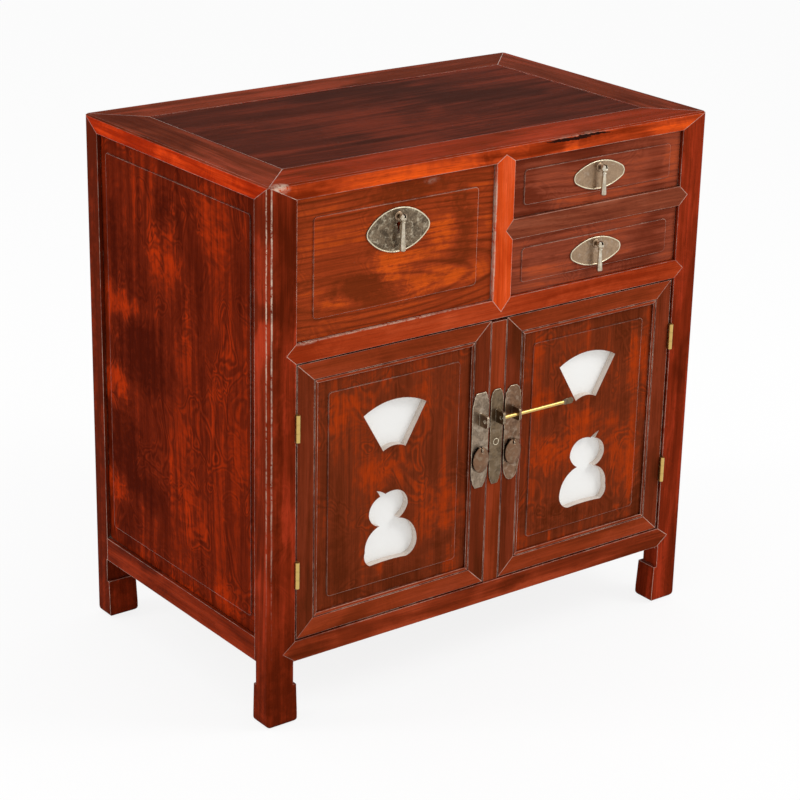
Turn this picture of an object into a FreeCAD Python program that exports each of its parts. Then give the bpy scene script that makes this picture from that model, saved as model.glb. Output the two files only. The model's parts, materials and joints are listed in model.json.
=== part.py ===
"""Kang cabinet: a low hardwood cabinet with three drawers over a pair of pierced doors.

Millimetres. +Z is up, the doors face -Y, and the feet stand on Z = 0.
The carcass is post-and-rail work with floating panels; the two doors close against a loose
centre stile and are locked by one pin through three eyes.
"""
import FreeCAD, Part
import math
import os
import re
import Sketcher
from FreeCAD import Placement, Rotation, Vector

doc = FreeCAD.newDocument("KangCabinet")

# ---------------------------------------------------------------- driving sizes
SIZES = (
    ("width", 690, "across the posts"),
    ("depth", 420, "front face of the posts to their back face"),
    ("height", 700, "floor to top"),
    ("bay_offset", 7, "centre line of the divider and the centre stile, right of the middle"),
    # posts and feet
    ("post_wide", 40, "post, across"),
    ("post_deep", 30, "post, front to back"),
    ("post_round", 5, "outer vertical corner"),
    ("neck_inset", 2.5, "foot below the rails, narrower than the post"),
    ("cove_round", 8, "hollow between the foot and the rail above it"),
    ("hoof_ledge", 54, "height where the hoof steps out again"),
    ("hoof_step", 2, "hoof past the post at its ledge"),
    ("hoof_flare", 3.5, "hoof past the post at its toe"),
    ("hoof_toe", 14, "height where the hoof is widest"),
    ("hoof_round", 7, "rounding of the hoof's lower edge"),
    # top
    ("top_wide", 60, "top frame member, seen from above"),
    ("top_thick", 20.5, "top frame member"),
    ("arris_bevel", 2, "bevel along the top's outer edge"),
    ("corner_tenon", 12, "stub tenon on each post, into the mitre of the top"),
    ("corner_tenon_in", 2, "stub tenon, from the post's inner face"),
    ("top_sunk", 0.5, "top panel below its frame"),
    ("top_line", 0.7, "fine open line round the top panel"),
    ("top_panel_thick", 8, "top panel"),
    ("batten_wide", 34, "batten under the top panel"),
    ("batten_thick", 6, "batten under the top panel"),
    # rails
    ("rail_deep", 30, "front and back rails, front to back"),
    ("big_bay", 176.5, "opening of the big drawer, top to bottom"),
    ("upper_bay", 75.5, "opening of the upper small drawer, top to bottom"),
    ("mid_rail_thick", 25, "rail between doors and drawers"),
    ("bottom_rail_under", 86, "underside of the bottom rails"),
    ("bottom_rail_thick", 27, "bottom rails, front and back"),
    ("side_rail_thick", 32, "bottom rails, sides"),
    ("side_rail_deep", 30, "bottom rails, sides, across"),
    ("divider_wide", 29, "upright between the drawers"),
    ("cross_rail_thick", 26, "rail between the small drawers"),
    ("shoulder_deep", 8, "pointed shoulder, from the face inwards"),
    ("shoulder_reach", 14, "point of a rail's shoulder, onto the post"),
    ("low_shoulder_reach", 18, "point of the bottom rail's shoulder"),
    ("divider_top_reach", 9.5, "point of the divider, into the top"),
    ("divider_low_reach", 17, "point of the divider, into the rail below"),
    ("cross_reach", 11, "point of the cross rail, into the divider"),
    ("tenon_long", 18, "rail tenons"),
    ("tenon_thick", 10, "rail tenons, front to back"),
    ("tenon_back", 2, "rail tenons behind the pointed shoulders"),
    ("side_tenon_in", 8, "side rails' tenons, from the post's outer face"),
    ("side_tenon_long", 10, "side rails' tenons"),
    ("tenon_shoulder", 5, "rail above and below its tenon"),
    # panels of the carcass
    ("groove_deep", 6, "panel grooves"),
    ("tongue_thick", 5, "panel tongues"),
    ("panel_play", 0.2, "panel in its groove, each way"),
    ("side_panel_sunk", 5.5, "margin of the side panel below the post's face"),
    ("side_panel_thick", 8, "side panel behind its margin"),
    ("side_field_side", 14, "margin beside the side panel's raised field"),
    ("side_field_end", 22, "margin above and below the side panel's raised field"),
    ("field_raise", 1.5, "raised fields above their margins"),
    ("field_round", 5, "corners of the raised fields"),
    ("back_panel_sunk", 5, "back panels below the back of the posts"),
    ("back_panel_thick", 8, "back panels"),
    ("floor_drop", 5, "cupboard floor below the top of the bottom rail"),
    ("floor_thick", 10, "cupboard floor"),
    # centre stile
    ("stile_wide", 24, "loose stile between the doors"),
    ("stile_thick", 22, "loose stile, front to back"),
    ("stile_lift", 4.5, "how far the loose stile lifts out of its lower mortise"),
    ("stile_tenon_back", 7, "loose stile's tenons behind its face"),
    ("stile_tenon_side", 4, "loose stile's tenons narrower than the stile, each side"),
    ("stile_tenon_top", 13, "upper tenon of the loose stile"),
    ("stile_tenon_low", 4, "lower tenon of the loose stile"),
    ("stile_play", 0.3, "loose stile's tenons in their mortises, each side"),
    # doors
    ("door_thick", 20, "door frame"),
    ("door_sunk", 2, "door face behind the post's face"),
    ("door_hinge_gap", 3, "door to post"),
    ("door_lock_gap", 1.2, "door to centre stile"),
    ("door_low_gap", 1.5, "door to bottom rail"),
    ("door_top_gap", 2.5, "door to the rail above"),
    ("door_stile_wide", 30, "door stiles"),
    ("door_rail_wide", 28, "door rails"),
    ("door_margin_sunk", 3, "margin of the door panel below the frame's face"),
    ("door_panel_thick", 8, "door panel behind its margin"),
    ("door_field_margin", 17, "frame to the door panel's raised field"),
    ("bead_wide", 4, "bead along the inner edge of the door frame"),
    ("quirk_wide", 1.2, "groove that sets off the bead"),
    ("quirk_deep", 1.2, "groove that sets off the bead"),
    ("backing_thick", 1.5, "white sheet behind the cut-outs"),
    ("backing_side", 12, "frame to the white sheet, beside it"),
    ("strip_wide", 10, "strips that hold the white sheet"),
    ("strip_thick", 4, "strips that hold the white sheet"),
    ("strip_lap", 4, "strips past the edge of the white sheet"),
    # cut-outs
    ("fan_outer", 95, "fan, outer radius"),
    ("fan_inner", 34, "fan, inner radius"),
    ("fan_half_angle", 30.4, "fan, half its spread in degrees"),
    ("fan_rise", 11.7, "centre of the fan's arcs above the doors' middle"),
    ("gourd_size", 100, "gourd, from its base to the tip of its stem"),
    ("gourd_fall", 110.7, "gourd's base below the doors' middle"),
    # hinges
    ("hinge_long", 35, "hinge, along its pin"),
    ("hinge_from_foot", 89, "lower hinges above the foot of the doors"),
    ("hinge_from_head", 79, "upper hinges below the head of the doors"),
    ("hinge_proud", 1.5, "hinge pin in front of the posts"),
    ("knuckle_radius", 3.1, "hinge knuckles"),
    ("hinge_pin_radius", 1.5, "hinge pins"),
    ("leaf_thick", 1.2, "hinge leaves"),
    ("leaf_deep", 14, "hinge leaves, back from the posts' face"),
    ("run_play", 0.05, "running clearance round a pin"),
    ("part_play", 0.3, "open gap between parts that pass each other"),
    # lock
    ("plate_thick", 1.6, "lock plates"),
    ("plate_fall", 43, "foot of the lock plates below the doors' middle"),
    ("plate_tall", 130, "lock plates"),
    ("plate_wide", 26.5, "lock plates on the doors"),
    ("lobe_round", 4, "lobes round the head of the right door's lock plate"),
    ("centre_plate_wide", 20, "lock plate on the centre stile"),
    ("eye_front", 15.5, "lock eyes in front of the posts"),
    ("eye_thick", 3, "lock eyes"),
    ("eye_tall", 17, "lock eyes"),
    ("eye_round", 4, "front corners of the lock eyes"),
    ("lock_rise", 51, "lock pin above the doors' middle"),
    ("lock_front", 10.5, "lock pin in front of the posts"),
    ("lock_pin_radius", 2.5, "lock pin"),
    ("lock_pin_long", 99, "round part of the lock pin"),
    ("lock_pin_play", 0.1, "lock pin in its eyes"),
    ("lock_pin_clear", 1.5, "tip of the drawn pin to the centre eye"),
    ("lock_leaf_long", 18, "flat leaf on the end of the lock pin"),
    ("lock_leaf_tall", 8, "flat leaf"),
    ("lock_leaf_thick", 1.6, "flat leaf"),
    ("lock_leaf_taper", 7, "flat leaf, from the pin to its full height"),
    ("lock_leaf_point", 3, "flat leaf, its blunt point"),
    ("pendant_rise", 10, "pendants' pivots above the doors' middle"),
    ("pendant_wide", 26, "pendants"),
    ("pendant_tall", 35, "pendants"),
    ("pendant_end", 9, "pendants, radius of their upper and lower ends"),
    ("pendant_head", 4, "top of a pendant above its pivot"),
    ("pendant_thick", 3.2, "pendants"),
    ("pendant_bevel", 1.8, "bevel round the front of the pendants"),
    ("pendant_front", 4.5, "pendant's pivot in front of the lock plates"),
    # hanging hardware in general
    ("ear_thick", 2, "ears that pendants and drops hang from"),
    ("ear_radius", 2.6, "end of an ear, about its pivot"),
    # drawers
    ("drawer_sunk", 3, "drawer front behind the posts"),
    ("drawer_gap", 0.8, "drawer front in its opening"),
    ("drawer_front_thick", 18, "drawer fronts at their margin"),
    ("drawer_side_thick", 10, "drawer sides and backs"),
    ("drawer_bottom_thick", 6, "drawer bottoms"),
    ("drawer_bottom_up", 5, "drawer bottom above the lower edge of the sides"),
    ("drawer_back_gap", 39, "drawer to the back panel"),
    ("tail_deep", 10, "dovetails of the drawer sides, into the front"),
    ("tail_pitch", 26, "dovetails, about one to each of these"),
    ("drawer_side_low", 12, "drawer sides below the top of the front"),
    ("big_field_side", 25, "margin beside the big drawer's field"),
    ("small_field_side", 18, "margin beside a small drawer's field"),
    ("big_field_end", 25, "margin above and below the big drawer's field"),
    ("small_field_end", 14.5, "margin above and below a small drawer's field"),
    ("runner_play", 0.3, "drawer above its runner"),
    ("runner_thick", 8, "ledge of a drawer runner"),
    ("runner_reach", 14, "ledge of a drawer runner, under the drawer"),
    ("runner_back", 20, "foot of a runner, outwards of the posts' inner face"),
    ("guide_tall", 12, "guide of a drawer runner above its ledge"),
    ("bearer_wide", 64, "bearer under the middle of the drawers"),
    ("bearer_thick", 15, "bearer under the middle of the drawers"),
    ("partition_thick", 12, "board between the big drawer and the small ones"),
    # pulls
    ("pull_thick", 1.2, "pull plates"),
    ("big_pull_wide", 95, "pull plate of the big drawer"),
    ("big_pull_tall", 56, "pull plate of the big drawer"),
    ("small_pull_wide", 85.5, "pull plate of a small drawer"),
    ("small_pull_tall", 38, "pull plate of a small drawer"),
    ("big_pull_rise", 28.5, "big pull plate above the middle of its drawer"),
    ("small_pull_rise", -1, "small pull plates above the middle of their drawers"),
    ("big_hanger_rise", 17, "drop's pivot above the middle of the big plate"),
    ("small_hanger_rise", 10, "drop's pivot above the middle of a small plate"),
    ("big_pull_end", 11, "big pull plate, radius of its ends"),
    ("small_pull_end", 9, "small pull plate, radius of its ends"),
    ("keyhole_fall", 10, "round of the keyhole below the drop's pivot"),
    ("keyhole_radius", 3.1, "round of the keyhole"),
    ("keyhole_slot", 1.6, "slot of the keyhole, half its width"),
    ("keyhole_long", 9, "slot of the keyhole below its round"),
    ("keyhole_deep", 9, "keyhole into the drawer front"),
    ("drop_front", 10, "drop's pivot in front of its plate"),
    ("big_drop_long", 42, "drop of the big drawer"),
    ("small_drop_long", 35, "drop of a small drawer"),
    ("drop_head", 4.6, "head of a drop, over its corners and above its pivot"),
    ("drop_neck", 2.4, "neck of a drop, radius over its corners"),
    ("drop_collar", 3.3, "collar of a drop, radius over its corners"),
    ("drop_collar_fall", 5, "collar of a drop below its pivot"),
    ("drop_collar_thick", 1.6, "collar of a drop"),
    ("drop_collar_ease", 0.4, "slope above and below a drop's collar"),
    ("drop_end", 4.2, "lower end of a drop, radius over its corners"),
    ("drop_end_bevel", 1.2, "bevel round a drop's lower end"),
)
sheet = doc.addObject("Spreadsheet::Sheet", "Sizes")
for row, (alias, value, note) in enumerate(SIZES, start=1):
    sheet.set(f"A{row}", note)
    sheet.set(f"B{row}", str(value))
    sheet.setAlias(f"B{row}", alias)
doc.recompute()
ALIASES = {alias for alias, value, note in SIZES}

# Places worked out from the sizes.
PLACES = {
    "front": "-(depth - eye_front) / 2",
    "back": "front + depth",
    "top_under": "height - top_thick",
    "mid_rail_top": "top_under - big_bay",
    "mid_rail_under": "mid_rail_top - mid_rail_thick",
    "bottom_rail_top": "bottom_rail_under + bottom_rail_thick",
    "side_rail_top": "bottom_rail_under + side_rail_thick",
    "cross_rail_top": "top_under - upper_bay",
    "cross_rail_under": "cross_rail_top - cross_rail_thick",
    "inner_post": "width / 2 - post_wide",
    "door_low": "bottom_rail_top + door_low_gap",
    "door_top": "mid_rail_under - door_top_gap",
    "door_middle": "(door_low + door_top) / 2",
    "fan_centre": "door_middle + fan_rise",
    "gourd_foot": "door_middle - gourd_fall",
    "hinge_low": "door_low + hinge_from_foot",
    "hinge_high": "door_top - hinge_from_head",
    "plate_low": "door_middle - plate_fall",
    "lock_height": "door_middle + lock_rise",
    "pendant_pivot": "door_middle + pendant_rise",
    "door_face": "front + door_sunk",
    "plate_face": "door_face - plate_thick",
    "drawer_face": "front + drawer_sunk",
    "drawer_end": "back - back_panel_sunk - back_panel_thick - drawer_back_gap",
    "tongue_in": "groove_deep - 1",
    "hinge_axis_y": "front - hinge_proud",
    "lock_axis_y": "front - lock_front",
    "pendant_axis_y": "plate_face - pendant_front",
    "pin_tip": "bay_offset + eye_thick / 2 + lock_pin_clear",
    "knuckle_long": "(hinge_long - 2 * part_play) / 3",
    "floor_top": "bottom_rail_top - floor_drop",
    "partition_low": "mid_rail_top + guide_tall",
    "top_panel_under": "height - top_sunk - top_panel_thick - tongue_thick",
    "small_left": "bay_offset + divider_wide / 2",
}


def bind(text):
    """Write a size expression in the sheet's own names."""
    def name(match):
        word = match.group(0)
        if word in PLACES:
            return "(" + bind(PLACES[word]) + ")"
        return "Sizes." + word if word in ALIASES else word
    return re.sub(r"[a-z_]+", name, str(text))


def size(text):
    """Value of a size expression."""
    return float(sheet.evalExpression(bind(text)))


def drive(item, **values):
    """Bind properties to size expressions; a double underscore stands for a dot."""
    for key, text in values.items():
        item.setExpression(key.replace("__", "."), bind(text))


def place(item, x, y, z):
    drive(item, Placement__Base__x=x, Placement__Base__y=y, Placement__Base__z=z)


# ---------------------------------------------------------------- modelling helpers
def body(label):
    item = doc.addObject("PartDesign::Body", label)
    item.Label = label
    return item


def span(first, last):
    """Low end and length of a stretch given by two ends in either order."""
    low, high = (first, last) if size(first) <= size(last) else (last, first)
    return low, f"{high} - ({low})"


def box(owner, kind, x, y, z):
    """Additive or Subtractive box between two places on each axis."""
    item = owner.newObject(f"PartDesign::{kind}Box", "Block")
    (x0, long), (y0, wide), (z0, tall) = span(*x), span(*y), span(*z)
    drive(item, Length=long, Width=wide, Height=tall)
    place(item, x0, y0, z0)
    return item


TURNS = {
    "X": Rotation(Vector(0, 1, 0), 90),
    "Y": Rotation(Vector(1, 0, 0), -90),
    "Z": Rotation(),
}


def cylinder(owner, kind, axis, radius, start, length):
    """Additive or Subtractive cylinder from a start point along +X, +Y or +Z."""
    item = owner.newObject(f"PartDesign::{kind}Cylinder", "Round")
    item.Placement = Placement(Vector(), TURNS[axis])
    drive(item, Radius=radius, Height=length)
    place(item, *start)
    return item


def board(label, x, y, z):
    """A plain board."""
    item = doc.addObject("Part::Box", label)
    item.Label = label
    (x0, long), (y0, wide), (z0, tall) = span(*x), span(*y), span(*z)
    drive(item, Length=long, Width=wide, Height=tall)
    place(item, x0, y0, z0)
    return item


def cut(label, base, *tools):
    """A piece less the pieces that are let into it."""
    tool = tools[0]
    if len(tools) > 1:
        tool = doc.addObject("Part::MultiFuse", "Tools")
        tool.Shapes = list(tools)
    item = doc.addObject("Part::Cut", label)
    item.Base = base
    item.Tool = tool
    item.Label = label
    return item


def group(label, *items):
    """Like pieces of one node, each a solid of its own."""
    item = doc.addObject("Part::Compound", label)
    item.Links = list(items)
    item.Label = label
    return item


def rounded(u, v, radius):
    """Outline of a rectangle whose corners are quarter circles."""
    (u0, wide), (v0, tall) = span(*u), span(*v)
    u1, v1 = f"{u0} + {wide}", f"{v0} + {tall}"
    return [
        (f"{u0} + {radius}", v0), (f"{u1} - {radius}", v0), (u1, f"{v0} + {radius}", radius, 1),
        (u1, f"{v1} - {radius}"), (f"{u1} - {radius}", v1, radius, 1),
        (f"{u0} + {radius}", v1), (u0, f"{v1} - {radius}", radius, 1),
        (u0, f"{v0} + {radius}"), (f"{u0} + {radius}", v0, radius, 1),
    ][1:]


def oval(half_wide, half_tall, end):
    """Upright oval of four arcs about the origin; end is the radius of its upper and lower arcs."""
    flank = f"(({half_wide}) ^ 2 + ({half_tall} - {end}) ^ 2 - {end} ^ 2) / (2 * ({half_wide} - {end}))"
    share = f"{end} / ({flank} - {end})"
    u = f"({flank} - {half_wide}) * {share}"
    v = f"({half_tall} - {end}) * (1 + {share})"
    left, low = f"-({u})", f"-({v})"
    return [(u, low, end, 1), (u, v, flank, 1), (left, v, end, 1), (left, low, flank, 1)]


def moved(outline, u, v, flip_u=1, flip_v=1):
    """An outline shifted to (u, v), mirrored on an axis whose flip is -1."""
    result = []
    for across_u, up_v, *arc in outline:
        bend = (arc[0], arc[1] * flip_u * flip_v) if arc else ()
        result.append((f"{u} + {flip_u} * ({across_u})", f"{v} + {flip_v} * ({up_v})", *bend))
    return result


def arc_between(first, last, radius, turn):
    """Arc of the sketcher, always anticlockwise; turn is -1 where the outline runs the other way."""
    chord = last - first
    middle = (first + last) / 2
    rise = math.sqrt(max(radius ** 2 - chord.Length ** 2 / 4, 0))
    centre = middle + Vector(-chord.y, chord.x, 0).normalize() * rise * turn
    circle = Part.Circle(centre, Vector(0, 0, 1), radius)
    begin, end = (first, last) if turn > 0 else (last, first)
    low = math.atan2(begin.y - centre.y, begin.x - centre.x)
    high = math.atan2(end.y - centre.y, end.x - centre.x)
    return Part.ArcOfCircle(circle, low, high if high > low else high + 2 * math.pi)


def sketch(owner, role, outline, start):
    """Closed outline on the owner's origin plane, moved along that plane's axis to start.

    Each point is (u, v), or (u, v, radius, turn) where the side that ends there is an arc.
    """
    plane = next(item for item in owner.Origin.OriginFeatures if item.Role == role)
    drawing = owner.newObject("Sketcher::SketchObject", "Outline")
    drawing.AttachmentSupport = [(plane, "")]
    drawing.MapMode = "FlatFace"
    sign = -1 if role == "XZ_Plane" else 1
    drawing.setExpression(".AttachmentOffset.Base.z", bind(f"{sign} * ({start})"))
    points = [Vector(size(u), size(v), 0) for u, v, *arc in outline]
    ends = []
    for index, (u, v, *arc) in enumerate(outline):
        first, last = points[index - 1], points[index]
        if arc:
            radius, turn = arc
            drawing.addGeometry(arc_between(first, last, size(radius), turn), False)
            ends.append((1, 2) if turn > 0 else (2, 1))
        else:
            drawing.addGeometry(Part.LineSegment(first, last), False)
            ends.append((1, 2))
    for index, (u, v, *arc) in enumerate(outline):
        following = (index + 1) % len(outline)
        drawing.addConstraint(Sketcher.Constraint(
            "Coincident", index, ends[index][1], following, ends[following][0]))
        for kind, text, value in (("DistanceX", u, points[index].x), ("DistanceY", v, points[index].y)):
            number = drawing.addConstraint(Sketcher.Constraint(
                kind, -1, 1, index, ends[index][1], value))
            drawing.setExpression(f"Constraints[{number}]", bind(text))
        if arc:
            number = drawing.addConstraint(Sketcher.Constraint("Radius", index, size(arc[0])))
            drawing.setExpression(f"Constraints[{number}]", bind(arc[0]))
    return drawing


def pad(owner, role, outline, start, end):
    """Outline made solid from start to end, both along the plane's own axis."""
    item = owner.newObject("PartDesign::Pad", "Solid")
    item.Profile = sketch(owner, role, outline, start)
    item.Reversed = role == "XZ_Plane"
    drive(item, Length=f"{end} - ({start})")
    return item


def pocket(owner, role, outline, start, end):
    """Outline cut away from start to end, both along the plane's own axis."""
    item = owner.newObject("PartDesign::Pocket", "Opening")
    item.Profile = sketch(owner, role, outline, start)
    item.Reversed = role != "XZ_Plane"
    drive(item, Length=f"{end} - ({start})")
    return item


def ease_edges(owner, kind, by, wanted):
    """Fillet or Chamfer on the edges of the body's last feature that wanted(edge) picks out."""
    doc.recompute()
    base = owner.Tip
    names = [f"Edge{number}" for number, edge in enumerate(base.Shape.Edges, start=1) if wanted(edge)]
    item = owner.newObject(f"PartDesign::{kind}", "Easing")
    item.Base = (base, names)
    drive(item, **{"Radius" if kind == "Fillet" else "Size": by})
    return item


def near(value, text):
    """Whether a coordinate lies at a place."""
    return abs(value - size(text)) < 0.001


def across(side, inward):
    """Place on X, a distance inwards from the outer face of the left (-1) or right (1) posts."""
    return f"{side} * (width / 2 - ({inward}))"


def behind(end, inward):
    """Place on Y, a distance inwards from the front (-1) or back (1) face of the posts."""
    return f"front + ({inward})" if end < 0 else f"back - ({inward})"


def wider(ends, by):
    """A stretch with some play at both ends, low end first."""
    return f"{ends[0]} - ({by})", f"{ends[1]} + ({by})"


def middle_of(ends):
    """Half way between two places."""
    return f"(({ends[0]}) + ({ends[1]})) / 2"


SIDES = (("left", -1), ("right", 1))
ENDS = (("front", -1), ("back", 1))


# ---------------------------------------------------------------- rails of the carcass
def rail_tenons(owner, y, z, ends):
    """Stub tenons on the two ends of a rail that runs along X."""
    for start, way in ends:
        box(owner, "Additive", (start, f"{start} + {way} * tenon_long"),
            (f"{y} - tenon_thick / 2", f"{y} + tenon_thick / 2"),
            (f"{z[0]} + tenon_shoulder", f"{z[1]} - tenon_shoulder"))


def pointed_rail(label, x, z, reach_left, reach_right):
    """Front rail: mitred points on its face, square shoulders and tenons behind them."""
    rail = body(label)
    middle = f"({z[0]} + {z[1]}) / 2"
    outline = [
        (x[0], z[0]), (x[1], z[0]), (f"{x[1]} + {reach_right}", middle),
        (x[1], z[1]), (x[0], z[1]), (f"{x[0]} - ({reach_left})", middle),
    ]
    pad(rail, "XZ_Plane", outline, "front", "front + shoulder_deep")
    box(rail, "Additive", x, ("front + shoulder_deep", "front + rail_deep"), z)
    return rail


def square_rail(label, x, y, z):
    """Rail with square shoulders."""
    rail = body(label)
    box(rail, "Additive", x, y, z)
    return rail


BETWEEN_POSTS = ("-(inner_post)", "inner_post")
POST_ENDS = ((BETWEEN_POSTS[0], -1), (BETWEEN_POSTS[1], 1))
TENON_FRONT = "front + shoulder_deep + tenon_back + tenon_thick / 2"
TENON_BACK = "back - shoulder_deep - tenon_back - tenon_thick / 2"
MID_Z = ("mid_rail_under", "mid_rail_top")
LOW_Z = ("bottom_rail_under", "bottom_rail_top")
CROSS_Z = ("cross_rail_under", "cross_rail_top")
BACK_Y = ("back - rail_deep", "back")

cross_rail = pointed_rail("drawer_cross_rail", ("small_left", "inner_post"), CROSS_Z,
                          "cross_reach", "shoulder_reach")
rail_tenons(cross_rail, TENON_FRONT, CROSS_Z, (("inner_post", 1),))

divider_blank = body("divider_blank")
DIVIDER_X = ("bay_offset - divider_wide / 2", "bay_offset + divider_wide / 2")
pad(divider_blank, "XZ_Plane", [
    (DIVIDER_X[0], "mid_rail_top"), ("bay_offset", "mid_rail_top - divider_low_reach"),
    (DIVIDER_X[1], "mid_rail_top"), (DIVIDER_X[1], "top_under"),
    ("bay_offset", "top_under + divider_top_reach"), (DIVIDER_X[0], "top_under"),
], "front", "front + shoulder_deep")
box(divider_blank, "Additive", DIVIDER_X, ("front + shoulder_deep", "front + rail_deep"),
    ("mid_rail_top", "top_under"))
divider = cut("drawer_divider", divider_blank, cross_rail)

mid_blank = pointed_rail("mid_rail_blank", BETWEEN_POSTS, MID_Z, "shoulder_reach", "shoulder_reach")
rail_tenons(mid_blank, TENON_FRONT, MID_Z, POST_ENDS)
low_rail_front = pointed_rail("bottom_rail_front", BETWEEN_POSTS, LOW_Z,
                              "low_shoulder_reach", "low_shoulder_reach")
rail_tenons(low_rail_front, TENON_FRONT, LOW_Z, POST_ENDS)

# Mortises of the loose centre stile: deep above, shallow below, so that it lifts and swings out.
STILE_Y = ("door_face + stile_tenon_back", "door_face + stile_tenon_back + tenon_thick")
STILE_X = ("bay_offset - stile_wide / 2 + stile_tenon_side", "bay_offset + stile_wide / 2 - stile_tenon_side")
mortise_x = wider(STILE_X, "stile_play")
mortise_y = wider(STILE_Y, "stile_play")
box(mid_blank, "Subtractive", mortise_x, mortise_y,
    ("mid_rail_under", "mid_rail_under + stile_tenon_top + stile_play"))
box(low_rail_front, "Subtractive", mortise_x, mortise_y,
    ("bottom_rail_top - stile_tenon_low - stile_play", "bottom_rail_top"))

# The cupboard floor is tongued into all four bottom rails.
FLOOR_Z = ("floor_top - floor_thick", "floor_top")
floor_x = (across(-1, "side_rail_deep - tongue_in"), across(1, "side_rail_deep - tongue_in"))
floor_y = ("front + rail_deep - tongue_in", "back - rail_deep + tongue_in")
floor_slot_y = wider(floor_y, "groove_deep - tongue_in")
floor_slot_z = wider(FLOOR_Z, "panel_play")
box(low_rail_front, "Subtractive", BETWEEN_POSTS, floor_slot_y, floor_slot_z)
mid_rail_front = cut("mid_rail_front", mid_blank, divider)

low_rail_back = square_rail("bottom_rail_back", BETWEEN_POSTS, BACK_Y, LOW_Z)
rail_tenons(low_rail_back, TENON_BACK, LOW_Z, POST_ENDS)
box(low_rail_back, "Subtractive", BETWEEN_POSTS, floor_slot_y, floor_slot_z)
mid_rail_back = square_rail("mid_rail_back", BETWEEN_POSTS, BACK_Y, MID_Z)
rail_tenons(mid_rail_back, TENON_BACK, MID_Z, POST_ENDS)

# ---------------------------------------------------------------- panels and their grooves
INNER_Y = ("front + post_deep", "back - post_deep")
SIDE_TONGUE_Y = ("front + post_deep - tongue_in", "back - post_deep + tongue_in")
SIDE_TONGUE_Z = ("side_rail_top - tongue_in", "top_under + tongue_in")
BACK_TONGUE_X = ("-(inner_post + tongue_in)", "inner_post + tongue_in")
BACK_BAYS = (("bottom_rail_top", "mid_rail_under"), ("mid_rail_top", "top_under"))
BACK_TONGUE_Y = ("back - back_panel_sunk - tongue_thick", "back - back_panel_sunk")


def side_slot(owner, side):
    """Groove of a side panel, cut from one of the pieces round it."""
    near_face = across(side, "side_panel_sunk - panel_play")
    far_face = across(side, "side_panel_sunk + tongue_thick + panel_play")
    play = "groove_deep - tongue_in"
    box(owner, "Subtractive", (near_face, far_face), wider(SIDE_TONGUE_Y, play), wider(SIDE_TONGUE_Z, play))


def back_slots(owner, *bays):
    """Grooves of the back panels, cut from one of the pieces round them."""
    for bay in bays:
        box(owner, "Subtractive", wider(BACK_TONGUE_X, "groove_deep - tongue_in"),
            wider(BACK_TONGUE_Y, "panel_play"), wider(bay, "groove_deep"))


back_slots(low_rail_back, BACK_BAYS[0])
back_slots(mid_rail_back, *BACK_BAYS)

side_rails = []
for side_name, side in SIDES:
    rail = square_rail(f"side_rail_{side_name}", (across(side, 0), across(side, "side_rail_deep")),
                       INNER_Y, ("bottom_rail_under", "side_rail_top"))
    box(rail, "Additive", (across(side, "side_tenon_in"), across(side, "side_tenon_in + tenon_thick")),
        wider(INNER_Y, "side_tenon_long"),
        ("bottom_rail_under + tenon_shoulder", "side_rail_top - tenon_shoulder"))
    side_slot(rail, side)
    box(rail, "Subtractive", (across(side, "side_rail_deep - groove_deep"), across(side, "side_rail_deep")),
        INNER_Y, floor_slot_z)
    side_rails.append(rail)
group("bottom_rails_side", *side_rails)

for side_name, side in SIDES:
    panel = body(f"side_panel_{side_name}")
    outer = across(side, "side_panel_sunk")
    inner = across(side, "side_panel_sunk + tongue_thick")
    box(panel, "Additive", (outer, inner), SIDE_TONGUE_Y, SIDE_TONGUE_Z)
    box(panel, "Additive", (inner, across(side, "side_panel_sunk + side_panel_thick")),
        wider(INNER_Y, "-panel_play"), ("side_rail_top + panel_play", "top_under - panel_play"))
    field = rounded(wider(INNER_Y, "-side_field_side"),
                    ("side_rail_top + side_field_end", "top_under - side_field_end"), "field_round")
    face = across(side, "side_panel_sunk - field_raise")
    pad(panel, "YZ_Plane", field, *(face, outer) if side < 0 else (outer, face))

back_pieces = []
for low, high in BACK_BAYS:
    panel = body("back_panel")
    tongue_z = (f"{low} - tongue_in", f"{high} + tongue_in")
    box(panel, "Additive", BACK_TONGUE_X, BACK_TONGUE_Y, tongue_z)
    box(panel, "Additive", wider(BETWEEN_POSTS, "-panel_play"),
        ("back - back_panel_sunk - back_panel_thick", BACK_TONGUE_Y[0]),
        (f"{low} + panel_play", f"{high} - panel_play"))
    back_pieces.append(panel)
group("back_panels", *back_pieces)

floor = body("bottom_board")
box(floor, "Additive", wider(BETWEEN_POSTS, "-panel_play"), floor_y, FLOOR_Z)
box(floor, "Additive", floor_x, INNER_Y, FLOOR_Z)


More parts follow.
